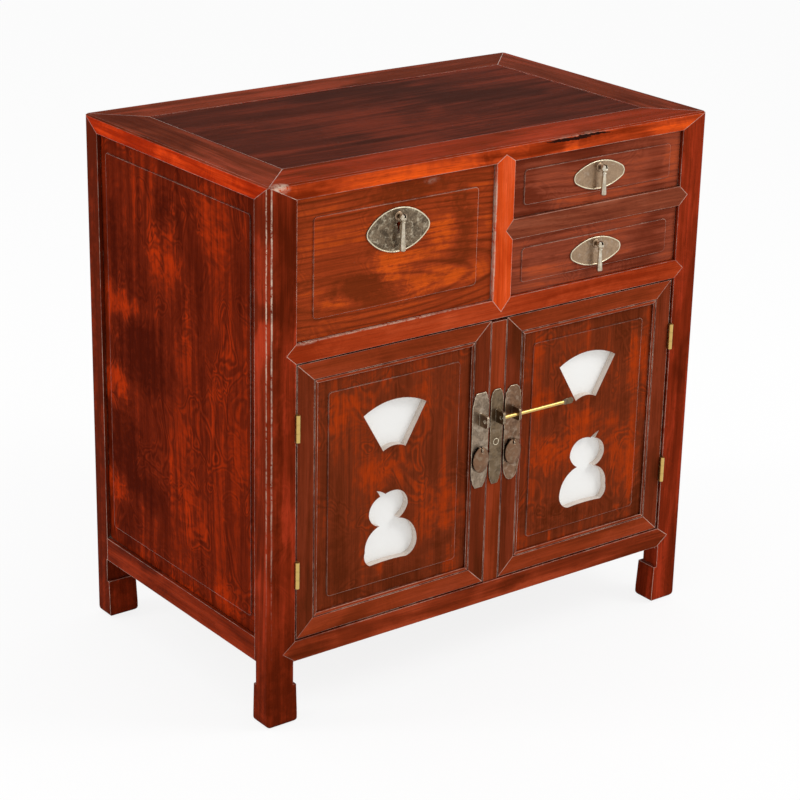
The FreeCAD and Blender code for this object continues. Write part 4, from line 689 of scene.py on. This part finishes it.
def front_patches(face, rows):
    """Patches on a front face; a row is the place and the reach along X and Z, and the strength."""
    return [((x, face, z), (wide, 0.05, tall), strength) for x, z, wide, tall, strength in rows]


# ---------------------------------------------------------------- new pieces
def finish_piece(name, mesh, body, materials, nodes=()):
    piece = bpy.data.objects.new(name, mesh)
    bpy.context.scene.collection.objects.link(piece)
    for material in materials:
        mesh.materials.append(material)
    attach(piece, body)
    if nodes:
        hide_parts(*nodes)


def pivot(joint_name):
    """Place of a swinging piece's pivot, in metres."""
    joint = next(item for item in frame["joints"] if item["name"] == joint_name)
    return Vector(joint["pos_m"])


def circle(sides):
    """Cosine and sine of the corners of a regular polygon."""
    return [(math.cos(a), math.sin(a)) for a in (FULL_TURN * k / sides for k in range(sides))]


def stitched(rings, round_trip=False):
    """Skin over rings with equal numbers of points: closed on itself, or by a lid at each end."""
    work = bmesh.new()
    rows = [[work.verts.new(point) for point in ring] for ring in rings]
    pairs = list(zip(rows, rows[1:])) + ([(rows[-1], rows[0])] if round_trip else [])
    for lower, upper in pairs:
        for corners in zip(lower, lower[1:] + lower[:1], upper[1:] + upper[:1], upper):
            work.faces.new(corners)
    if not round_trip:
        work.faces.new(rows[0][::-1])
        work.faces.new(rows[-1])
    bmesh.ops.recalc_face_normals(work, faces=work.faces)
    for face in work.faces:
        face.smooth = True
    return work


def to_mesh(work, name):
    mesh = bpy.data.meshes.new(name)
    work.to_mesh(mesh)
    work.free()
    return mesh


def joined(name, works):
    """One mesh out of several closed skins; each comes with its material number."""
    whole = bmesh.new()
    for work, number in works:
        for face in work.faces:
            face.material_index = number
        part = to_mesh(work, "part")
        whole.from_mesh(part)
        bpy.data.meshes.remove(part)
    return to_mesh(whole, name)


def four_arc_oval(half_wide, half_tall, end, inset=0.0, count=24):
    """Lying oval of four arcs, drawn in by inset; end is the radius of its left and right ends."""
    reach = half_wide - end
    long_radius = (reach ** 2 + half_tall ** 2 - end ** 2) / (2 * (half_tall - end))
    sink = long_radius - half_tall
    half_turn = math.atan2(sink, reach)
    points = []
    # Each arc: centre, radius, start and end angle, anticlockwise from the right end.
    for centre, radius, start, stop in (
            ((reach, 0.0), end, -half_turn, half_turn),
            ((0.0, -sink), long_radius, half_turn, math.pi - half_turn),
            ((-reach, 0.0), end, math.pi - half_turn, math.pi + half_turn),
            ((0.0, sink), long_radius, math.pi + half_turn, FULL_TURN - half_turn)):
        for step in range(count):
            a, long = start + (stop - start) * step / count, radius - inset
            points.append((centre[0] + long * math.cos(a), centre[1] + long * math.sin(a)))
    return points


def rim_band(shape, centre, face_y, wide, rise):
    """Low rounded band along an oval's edge on its front face; shape gives the oval at an inset."""
    profile = ((0.0, 0.0), (0.1, 0.75), (0.35, 1.0), (0.65, 0.9), (0.9, 0.45), (1.0, -0.2))
    return stitched([[(centre.x + x, face_y - out * rise, centre.z + z)
                      for x, z in shape(inset * wide)] for inset, out in profile],
                    round_trip=True)


def cap(centre, radius, rise, steps=7, sides=40):
    """Low dome on a face that looks along -Y, with a fine groove near its edge."""
    groove_step, groove_share = 2, 0.72
    rings = []
    for step in range(steps + 1):
        share = 1.0 - step / (steps + 0.5)
        out = rise * math.sqrt(1.0 - share ** 2.4) * (groove_share if step == groove_step else 1.0)
        rings.append([(centre.x + radius * share * x, centre.y - out, centre.z + radius * share * z)
                      for x, z in circle(sides)])
    return stitched(rings)


def rivet_head(centre, way, radius, rise, sides=20):
    """Peened end of a cross pin, standing out along X on the side that way names."""
    profile = ((1.0, -0.15), (1.0, 0.25), (0.86, 0.62), (0.55, 0.9), (0.2, 1.0))
    return stitched([[centre + Vector((way * rise * out, radius * share * y, radius * share * z))
                      for y, z in circle(sides)] for share, out in profile])


def band_ring(centre, radius, thick, sides=48, around=10):
    """Round wire ring lying against a face that looks along -Y."""
    wire_section = [(radius + thick * out, thick * forth) for out, forth in circle(around)]
    return stitched([[centre + Vector((x * away, forth, z * away)) for away, forth in wire_section]
                     for x, z in circle(sides)], round_trip=True)


def domed_oval(low, high, end):
    """Standing oval with a flat back and a domed front, filling the box from low to high."""
    half, centre = (high - low) / 2, (low + high) / 2
    thick = high.y - low.y
    profile = ((0.0, 0.0), (0.0, 0.3), (0.0006, 0.44), (0.0016, 0.58), (0.003, 0.71), (0.005, 0.84),
               (0.0072, 0.94), (0.0086, 1.0))
    return stitched([[(centre.x + z, high.y - out * thick, centre.z + x)
                      for x, z in four_arc_oval(half.z, half.x, end, min(inset, end * 0.96))]
                     for inset, out in profile])


def hollowed(name, mesh, low, high):
    """The mesh with a box from low to high cut out of it."""
    item = bpy.data.objects.new(name, mesh)
    work = bmesh.new()
    bmesh.ops.create_cube(work, size=1.0)
    size = high - low
    for vertex in work.verts:
        vertex.co = low + Vector((vertex.co[k] + 0.5) * size[k] for k in range(3))
    tool = bpy.data.objects.new(f"{name}_tool", to_mesh(work, f"{name}_tool"))
    for scrap in (item, tool):
        bpy.context.scene.collection.objects.link(scrap)
    carve = item.modifiers.new("carve", "BOOLEAN")
    carve.operation, carve.object, carve.solver = "DIFFERENCE", tool, "EXACT"
    graph = bpy.context.evaluated_depsgraph_get()
    carved = bpy.data.meshes.new_from_object(item.evaluated_get(graph), depsgraph=graph)
    carved.name = f"{name}_carved"
    for scrap in (item, tool):
        bpy.data.objects.remove(scrap)
    return carved


# ---------------------------------------------------------------- operators
class CabinetOperator:
    """Shared by the operators below."""
    bl_options = {"REGISTER", "UNDO"}


class CABINET_OT_posts(CabinetOperator, bpy.types.Operator):
    """Posts with their hoof feet"""
    bl_idname = "cabinet.posts"
    bl_label = "Posts"

    def execute(self, context):
        dress_boards(POSTS, "post", 1)
        low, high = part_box("post_front_left")
        # Two thin lines of painted highlight, where the rounded corner begins and ends.
        corner = [((low.x + x, low.y + y, z), (0.0014, 0.0014, tall), strength)
                  for x, y in ((0.0002, 0.0046), (0.0046, 0.0002))
                  for z, tall, strength in ((0.58, 0.2, 1.0), (0.33, 0.18, 0.5))]
        bands = [((low.x + 0.012, low.y, 0.4), (0.012, 0.012, 0.34), -0.45),
                 ((high.x - 0.006, low.y, 0.56), (0.01, 0.012, 0.16), 0.45),
                 ((low.x, high.y, 0.4), (0.01, 0.022, 0.4), 0.3),
                 ((low.x + 0.02, low.y + 0.02, 0.02), (0.06, 0.06, 0.13), -0.55)]
        dress("post_front_left",
              wood_material("post", "Z", 1, patches=bands, scuffs_and_highlights=corner, own="_corner"))
        low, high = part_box("post_back_left")
        dark = [((low.x, (low.y + high.y) / 2, 0.4), (0.08, 0.08, 0.8), -0.65)]
        dress("post_back_left", wood_material("post", "Z", 3, patches=dark, own="_dark"))
        return {"FINISHED"}


class CABINET_OT_rails(CabinetOperator, bpy.types.Operator):
    """Rails and the divider between the drawers"""
    bl_idname = "cabinet.rails"
    bl_label = "Rails"

    def execute(self, context):
        low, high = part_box("mid_rail_front")
        # A pale line and a small pale patch along the mid rail's top edge.
        pale_strips = [((-0.17, low.y, high.z), (0.15, 0.02, 0.0016), 0.6),
               ((-0.29, low.y, high.z), (0.02, 0.02, 0.0035), 0.7)]
        dark = [((0.18, low.y, high.z - 0.01), (0.16, 0.05, 0.05), -0.35)]
        dress("mid_rail_front",
              wood_material("mid_rail", "X", 0, patches=dark, scuffs_and_highlights=pale_strips, own="_front"))
        dress_boards(["bottom_rail_front"], "low_rail", 1)
        low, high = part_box("drawer_divider")
        # Pale strips along the divider's left edge, one low and one high.
        pale_strips = [((low.x, low.y, z), (0.0024, 0.02, 0.06), 0.75)
               for z in (low.z + 0.06, high.z - 0.065)]
        dress("drawer_divider", wood_material("divider", "Z", 3, scuffs_and_highlights=pale_strips, own="_front"))
        dress_boards(["drawer_cross_rail"], "cross_rail", 2)
        dress_boards(["bottom_rails_side", "bottom_rail_back", "mid_rail_back"], "side_rail", 2)
        return {"FINISHED"}


class CABINET_OT_top(CabinetOperator, bpy.types.Operator):
    """Mitred top frame and its panel"""
    bl_idname = "cabinet.top"
    bl_label = "Top"

    def execute(self, context):
        for name, grain in (("left", "Y"), ("right", "Y"), ("back", "X")):
            rail = f"top_rail_{name}"
            dress(rail, wood_material("top_frame", grain, 3))
            repaint(rail, wood_material("top_edge", grain, 3), is_edge_of_top)
        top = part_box("top_panel")[1].z
        streaks = [((-0.1, 0.02, top), (0.12, 0.06, 0.02), 0.3),
                   ((0.12, 0.08, top), (0.12, 0.04, 0.02), -0.25),
                   ((0.05, -0.08, top), (0.14, 0.05, 0.02), 0.2)]
        dots = [((0.0, 0.0, top), (0.6, 0.4, 0.1), 0.6)]
        dress("top_panel", wood_material("top_panel", "X", 1, patches=streaks, specks=dots))
        front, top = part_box("top_rail_front")[0].y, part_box("top_rail_front")[1].z
        void = [((0.07, front, top - 0.0045), (0.145, front, top - 0.006), 0.002, 0.007),
                ((0.12, front, top - 0.003), (0.182, front, top - 0.005), 0.0014, 0.006)]
        marks = {"patches": [((-0.02, front, top - 0.01), (0.022, 0.03, 0.012), -0.75),
                             ((-0.29, front, top - 0.01), (0.06, 0.04, 0.03), -0.3),
                             ((0.13, front, top - 0.006), (0.08, 0.03, 0.01), -0.5),
                             ((-0.12, front, top - 0.01), (0.09, 0.04, 0.03), 0.35)],
                 "scuffs_and_highlights": [((-0.33, front, top - 0.004), (0.014, 0.014, 0.008), 1.0),
                            ((0.12, front, top - 0.002), (0.06, 0.006, 0.0016), 0.2)]}
        top_face, front_face = (wood_material(finish, "X", 1, void, own="_void", **marks)
                                for finish in ("top_front", "bright_rail"))
        dress("top_rail_front", top_face)
        repaint("top_rail_front", front_face, is_edge_of_top)
        return {"FINISHED"}


class CABINET_OT_panels(CabinetOperator, bpy.types.Operator):
    """Side and back panels"""
    bl_idname = "cabinet.panels"
    bl_label = "Side and back panels"

    def execute(self, context):
        for number, side in enumerate(SIDES):
            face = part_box(f"side_panel_{side}")[number].x
            patches = [((face, y, z), (0.06, wide, tall), strength)
                       for y, z, wide, tall, strength in SIDE_CLOUDS[side]]
            dress(f"side_panel_{side}",
                  wood_material("side_panel", "Z", 2 + number, patches=patches))
        dress_boards(["back_panels"], "back_panel", 1)
        return {"FINISHED"}


class CABINET_OT_inside(CabinetOperator, bpy.types.Operator):
    """Unfinished boards inside the cabinet and the drawers"""
    bl_idname = "cabinet.inside"
    bl_label = "Inside"

    def execute(self, context):
        names = ["bottom_board", "center_bearer", "drawer_partition", "drawer_runners",
                 "top_batten"]
        names += ([f"door_{side}_strips" for side in SIDES]
                  + [f"drawer_{name}_box" for name in DRAWERS])
        dress_boards(names, "bare", 0, 3)
        return {"FINISHED"}


class CABINET_OT_doors(CabinetOperator, bpy.types.Operator):
    """Door frames, pierced door panels and the loose stile between the doors"""
    bl_idname = "cabinet.doors"
    bl_label = "Doors"

    def execute(self, context):
        dress_boards(["center_stile"], "door_rail", 3)
        edge = plain_material("cut_edge", context.scene.cabinet_wood.cut_edge, 0.5, 0.35)
        for number, side in enumerate(SIDES):
            cut = 2 * number
            dress_boards([f"door_{side}_hinge_stile", f"door_{side}_lock_stile"],
                         "door_stile", 1 + cut)
            dress_boards([f"door_{side}_rails"], "door_rail", cut)
            panel = f"door_{side}_panel"
            low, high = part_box(panel)
            middle, reach = (low + high) / 2, (high - low) * 0.36
            dots = [((middle.x, low.y, 0.15), (0.16, 0.05, 0.07), 0.6)]
            patches = front_patches(low.y, DOOR_CLOUDS[side])
            dress(panel, wood_material("door_panel", "Z", 1 + cut, DOOR_SPLITS[side], patches,
                                       specks=dots))

            def is_cut_out(polygon):
                away = polygon.center - middle
                return (abs(away.x) < reach.x and abs(away.z) < reach.z
                        and abs(polygon.normal.y) < 0.3)

            repaint(panel, edge, is_cut_out)
        return {"FINISHED"}


class CABINET_OT_linings(CabinetOperator, bpy.types.Operator):
    """White sheets behind the cut-outs"""
    bl_idname = "cabinet.linings"
    bl_label = "Linings"

    def execute(self, context):
        sheet = plain_material("white_sheet", (1.0, 1.0, 0.99), 0.6, 0.02)
        for side in SIDES:
            dress(f"door_{side}_backing", sheet)
        return {"FINISHED"}


class CABINET_OT_drawers(CabinetOperator, bpy.types.Operator):
    """Drawer fronts"""
    bl_idname = "cabinet.drawers"
    bl_label = "Drawer fronts"

    def execute(self, context):
        # A knot lies low on the left of the big front; the small fronts come from farther out.
        low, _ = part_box("drawer_big_front")
        knot = (low.x + 0.085, low.y + 0.004, low.z + 0.046)
        patches = front_patches(low.y, (
            (-0.082, 0.604, 0.034, 0.03, 0.65), (-0.17, 0.578, 0.032, 0.024, 0.9),
            (-0.13, 0.583, 0.03, 0.012, 0.5), (-0.212, 0.556, 0.048, 0.017, -1.5),
            (-0.18, 0.536, 0.05, 0.01, -0.4), (-0.25, 0.543, 0.04, 0.012, 0.45),
            (-0.1, 0.545, 0.08, 0.018, 0.35), (-0.055, 0.61, 0.024, 0.055, -0.8),
            (-0.15, 0.665, 0.08, 0.014, -0.6), (-0.27, 0.625, 0.03, 0.04, 0.2)))
        dots = [((-0.13, low.y, 0.64), (0.13, 0.05, 0.075), 0.7)]
        bruises = [((-0.106, low.y, 0.672), (0.012, 0.03, 0.005), 0.22)]
        dress("drawer_big_front",
              wood_material("drawer_front", "X", 0, patches=patches, scuffs_and_highlights=bruises,
                            specks=dots, heart=knot))
        for cut, name in enumerate(("lower", "upper"), 1):
            dress(f"drawer_{name}_front", wood_material("small_front", "X", cut))
        return {"FINISHED"}


class CABINET_OT_lock(CabinetOperator, bpy.types.Operator):
    """Lock plates, the ring on the centre plate and the lock pin"""
    bl_idname = "cabinet.lock"
    bl_label = "Lock"

    def execute(self, context):
        metal = context.scene.cabinet_metal
        for name, base, blooming in (("door_left", metal.left_plate, 0.45),
                                     ("center", metal.centre_plate, 0.15),
                                     ("door_right", metal.right_plate, 0.35)):
            dress(f"{name}_lock_plate", metal_material(
                f"bronze_{name}", base, 0.42, (0.52, 0.43, 0.33), 0.75, blooming, 0.7,
                rubbed=metal.plate_rim, arris=0.0017))
        low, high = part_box("center_lock_plate")
        ring_height, plate_thick, leaf_long = 0.058, 0.0016, 0.02
        centre = Vector(((low.x + high.x) / 2, high.y - plate_thick, low.z + ring_height))
        ring = band_ring(centre, metal.stud, 0.0006)
        finish_piece("centre_plate_ring", to_mesh(ring, "centre_plate_ring"), "center_stile",
                     [metal_material("bronze_ring", metal.plate_rim, 0.4)])
        dress("lock_pin", yellow_brass())
        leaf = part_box("lock_pin")[1].x - leaf_long
        dark = metal_material("leaf_bronze", metal.centre_plate, 0.4)
        repaint("lock_pin", dark, lambda polygon: polygon.center.x > leaf)
        return {"FINISHED"}


class CABINET_OT_hinges(CabinetOperator, bpy.types.Operator):
    """Hinge leaves, knuckles and pins"""
    bl_idname = "cabinet.hinges"
    bl_label = "Hinges"

    def execute(self, context):
        for name in ("hinge_leaves_fixed", "door_left_hinge_leaves", "door_right_hinge_leaves"):
            dress(name, yellow_brass())
        return {"FINISHED"}


class CABINET_OT_pendants(CabinetOperator, bpy.types.Operator):
    """Domed oval pendants below the lock eyes, notched for their ears"""
    bl_idname = "cabinet.pendants"
    bl_label = "Pendants"

    def execute(self, context):
        metal = context.scene.cabinet_metal
        end, half_notch, notch_deep, spare = 0.009, 0.0013, 0.0029, 0.001
        skin = metal_material("bronze_pendant", metal.pendant, 0.6, (0.5, 0.44, 0.32), 0.5, 0.2,
                              0.3, rubbed=metal.plate_rim, arris=0.0014)
        for side in SIDES:
            node = f"door_{side}_pendant"
            low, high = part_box(node)
            hang = pivot(f"pendant_{side}_swing")
            dome = to_mesh(domed_oval(low, high, end), f"pendant_{side}_dome")
            mesh = hollowed(f"pendant_{side}_dome", dome,
                            Vector((hang.x - half_notch, low.y - spare, hang.z - notch_deep)),
                            Vector((hang.x + half_notch, high.y + spare, high.z + spare)))
            finish_piece(f"pendant_{side}_oval", mesh, f"pendant_{side}",
                         [skin], [node])
        return {"FINISHED"}


class CABINET_OT_pulls(CabinetOperator, bpy.types.Operator):
    """Pull plates with their bright rims and the bosses round their ears"""
    bl_idname = "cabinet.pulls"
    bl_label = "Pull plates"

    def execute(self, context):
        metal = context.scene.cabinet_metal
        rim = metal_material("pull_rim", metal.rim, 0.5, (0.95, 0.88, 0.72), 0.45, 0.3, 0.1)
        dark = metal_material("dark_pull", metal.dark_pull, 0.3, (0.66, 0.57, 0.42), 0.95, 0.6, 0.4)
        pale = metal_material("pale_pull", metal.pull, 0.6, (0.56, 0.46, 0.38), 0.7, 0.35, 0.3)
        plate_thick, rim_rise, boss_rise = 0.0012, 0.0006, 0.0011
        for name in DRAWERS:
            node = f"drawer_{name}_pull_plate"
            low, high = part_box(node)
            dress(node, dark if name == "big" else pale)
            centre, half = (low + high) / 2, (high - low) / 2
            end = metal.big_end if name == "big" else metal.small_end
            face_y = high.y - plate_thick

            def outline(inset):
                return four_arc_oval(half.x, half.z, end, inset)

            hang = pivot(f"drop_{name}_swing")
            seat = Vector((hang.x, face_y, hang.z))
            mesh = joined(f"pull_trim_{name}", [
                (rim_band(outline, centre, face_y, metal.rim_wide, rim_rise), 0),
                (cap(seat, metal.boss, boss_rise), 1)])
            finish_piece(f"pull_trim_{name}", mesh, f"drawer_{name}", [rim, pale])
        return {"FINISHED"}


class CABINET_OT_drops(CabinetOperator, bpy.types.Operator):
    """Eight-sided drops of the drawer pulls, with the peened ends of their cross pins"""
    bl_idname = "cabinet.drops"
    bl_label = "Drops"

    def execute(self, context):
        brass = context.scene.cabinet_metal.drop
        skin = metal_material("drop_brass", brass, 0.5, (0.92, 0.86, 0.74), 0.6, 0.5, 0.2, 0.7)
        pin_radius, pin_rise = 0.0012, 0.0006
        for name in DRAWERS:
            node = f"drawer_{name}_drop"
            dress(node, skin)
            low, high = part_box(node)
            hang = pivot(f"drop_{name}_swing")
            mesh = joined(f"drop_pin_{name}", [
                (rivet_head(Vector((flank, hang.y, hang.z)), way, pin_radius, pin_rise), 0)
                for way, flank in ((-1, low.x), (1, high.x))])
            finish_piece(f"drop_pin_{name}", mesh, f"drop_{name}", [skin])
        return {"FINISHED"}


class CABINET_OT_studio(CabinetOperator, bpy.types.Operator):
    """Floor, lamps, surrounding light and camera"""
    bl_idname = "cabinet.studio"
    bl_label = "Studio"

    def execute(self, context):
        scene = context.scene
        studio = scene.cabinet_studio
        scene.view_settings.view_transform = "Standard"
        # Just below the feet, so that the floor and their undersides don't flicker.
        half, floor_z = studio.floor_size / 2, -0.0005
        mesh = bpy.data.meshes.new("floor")
        mesh.from_pydata(
            [(x * half, y * half, floor_z) for x, y in ((-1, -1), (1, -1), (1, 1), (-1, 1))],
            [], [(0, 1, 2, 3)])
        floor = bpy.data.objects.new("studio_floor", mesh)
        scene.collection.objects.link(floor)
        mesh.materials.append(self.paper(studio))
        self.surround(scene, studio)
        low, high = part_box("post_front_left")[0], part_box("post_back_right")[1]
        target = Vector(((low.x + high.x) / 2, (low.y + high.y) / 2, high.z / 2))
        # Turn and rise in degrees, distance, width, height and power.
        for name, turn, rise, away, wide, tall, power in (
                ("lamp_key", 46, 38, 2.8, 0.9, 1.3, studio.key),
                ("lamp_side", -112, 26, 2.8, 0.7, 1.5, studio.side)):
            lamp = bpy.data.lights.new(name, "AREA")
            lamp.shape, lamp.size, lamp.size_y, lamp.energy = "RECTANGLE", wide, tall, power
            item = bpy.data.objects.new(name, lamp)
            way = self.direction(math.radians(turn), math.radians(rise))
            item.location = target + way * away
            item.rotation_euler = way.to_track_quat("Z", "Y").to_euler()
            scene.collection.objects.link(item)
        self.camera(scene, studio, target)
        return {"FINISHED"}

    def direction(self, turn, rise):
        """Way from the cabinet to a place turned round it from its front, and raised."""
        return Vector((math.sin(turn) * math.cos(rise), -math.cos(turn) * math.cos(rise),
                       math.sin(rise)))

    def seen(self, tree):
        """Rays that look at the background: from the camera, or by way of metal or glass."""
        rays = fields(tree.nodes.new("ShaderNodeLightPath").outputs)
        seen = compute("MAXIMUM", rays["Is Camera Ray"], rays["Is Glossy Ray"])
        return compute("MAXIMUM", seen, rays["Is Transmission Ray"])

    def paper(self, studio):
        """White paper floor that keeps a faint shadow."""
        material, tree = new_material("studio_floor")
        lit = field(tree, "ShaderNodeBsdfPrincipled", "BSDF", {
            "Base Color": studio.floor, "Roughness": 0.9, "Specular IOR Level": 0.0})
        plain = field(tree, "ShaderNodeEmission", "Emission", {"Color": WHITE, "Strength": 1.0})
        share = self.seen(tree) * studio.paper
        mixed = field(tree, "ShaderNodeMixShader", "Shader", {0: share, 1: lit, 2: plain})
        add(tree, "ShaderNodeOutputMaterial", {"Surface": mixed})
        return material

    def surround(self, scene, studio):
        """Even light from all round, behind which the background is white."""
        scene.world = bpy.data.worlds.new("studio")
        scene.world.use_nodes = True
        tree = scene.world.node_tree
        tree.nodes.clear()
        level = self.seen(tree) * (1.0 - studio.sky) + studio.sky
        sky = field(tree, "ShaderNodeBackground", "Background", {"Color": WHITE, "Strength": level})
        add(tree, "ShaderNodeOutputWorld", {"Surface": sky})

    def camera(self, scene, studio, target):
        back = self.direction(studio.turn, studio.pitch)
        level = Vector((math.cos(studio.turn), math.sin(studio.turn), 0.0))
        upright = back.cross(level)
        right = math.cos(studio.roll) * level + math.sin(studio.roll) * upright
        up = math.cos(studio.roll) * upright - math.sin(studio.roll) * level
        data = bpy.data.cameras.new("camera")
        data.lens, data.sensor_width, data.sensor_fit = studio.lens, 36.0, "HORIZONTAL"
        data.clip_end = 60.0
        item = bpy.data.objects.new("camera", data)
        place = target + back * studio.distance + right * studio.slide + up * studio.lift
        item.matrix_world = (Matrix.Translation(place)
                             @ Matrix((right, up, back)).transposed().to_4x4())
        scene.collection.objects.link(item)
        scene.camera = item


OPERATORS = (
    CABINET_OT_posts, CABINET_OT_rails, CABINET_OT_top, CABINET_OT_panels, CABINET_OT_inside,
    CABINET_OT_doors, CABINET_OT_linings, CABINET_OT_drawers, CABINET_OT_lock, CABINET_OT_hinges,
    CABINET_OT_pendants, CABINET_OT_pulls, CABINET_OT_drops, CABINET_OT_studio,
)


class CABINET_PT_finish(bpy.types.Panel):
    """Lists the pieces of the cabinet"""
    bl_idname = "CABINET_PT_finish"
    bl_label = "Kang Cabinet"
    bl_space_type = "VIEW_3D"
    bl_region_type = "UI"
    bl_category = "Cabinet"

    def draw(self, context):
        for operator in OPERATORS:
            self.layout.operator(operator.bl_idname)
        for name, _ in GROUPS:
            settings, box = getattr(context.scene, name), self.layout.box()
            for item in type(settings).__annotations__:
                box.prop(settings, item)


CLASSES = (WoodSettings, MetalSettings, StudioSettings, *OPERATORS, CABINET_PT_finish)
GROUPS = (("cabinet_wood", WoodSettings), ("cabinet_metal", MetalSettings),
          ("cabinet_studio", StudioSettings))


def register():
    for item in CLASSES:
        bpy.utils.register_class(item)
    for name, settings in GROUPS:
        setattr(bpy.types.Scene, name, PointerProperty(type=settings))


def unregister():
    for name, settings in GROUPS:
        delattr(bpy.types.Scene, name)
    for item in reversed(CLASSES):
        bpy.utils.unregister_class(item)


def main():
    register()
    for build in (build_board_figure, build_edge_marks_and_painted_light, build_split, build_patch, build_aged_metal):
        build()
    for operator in OPERATORS:
        group, name = operator.bl_idname.split(".")
        getattr(getattr(bpy.ops, group), name)()


if __name__ == "__main__":
    main()
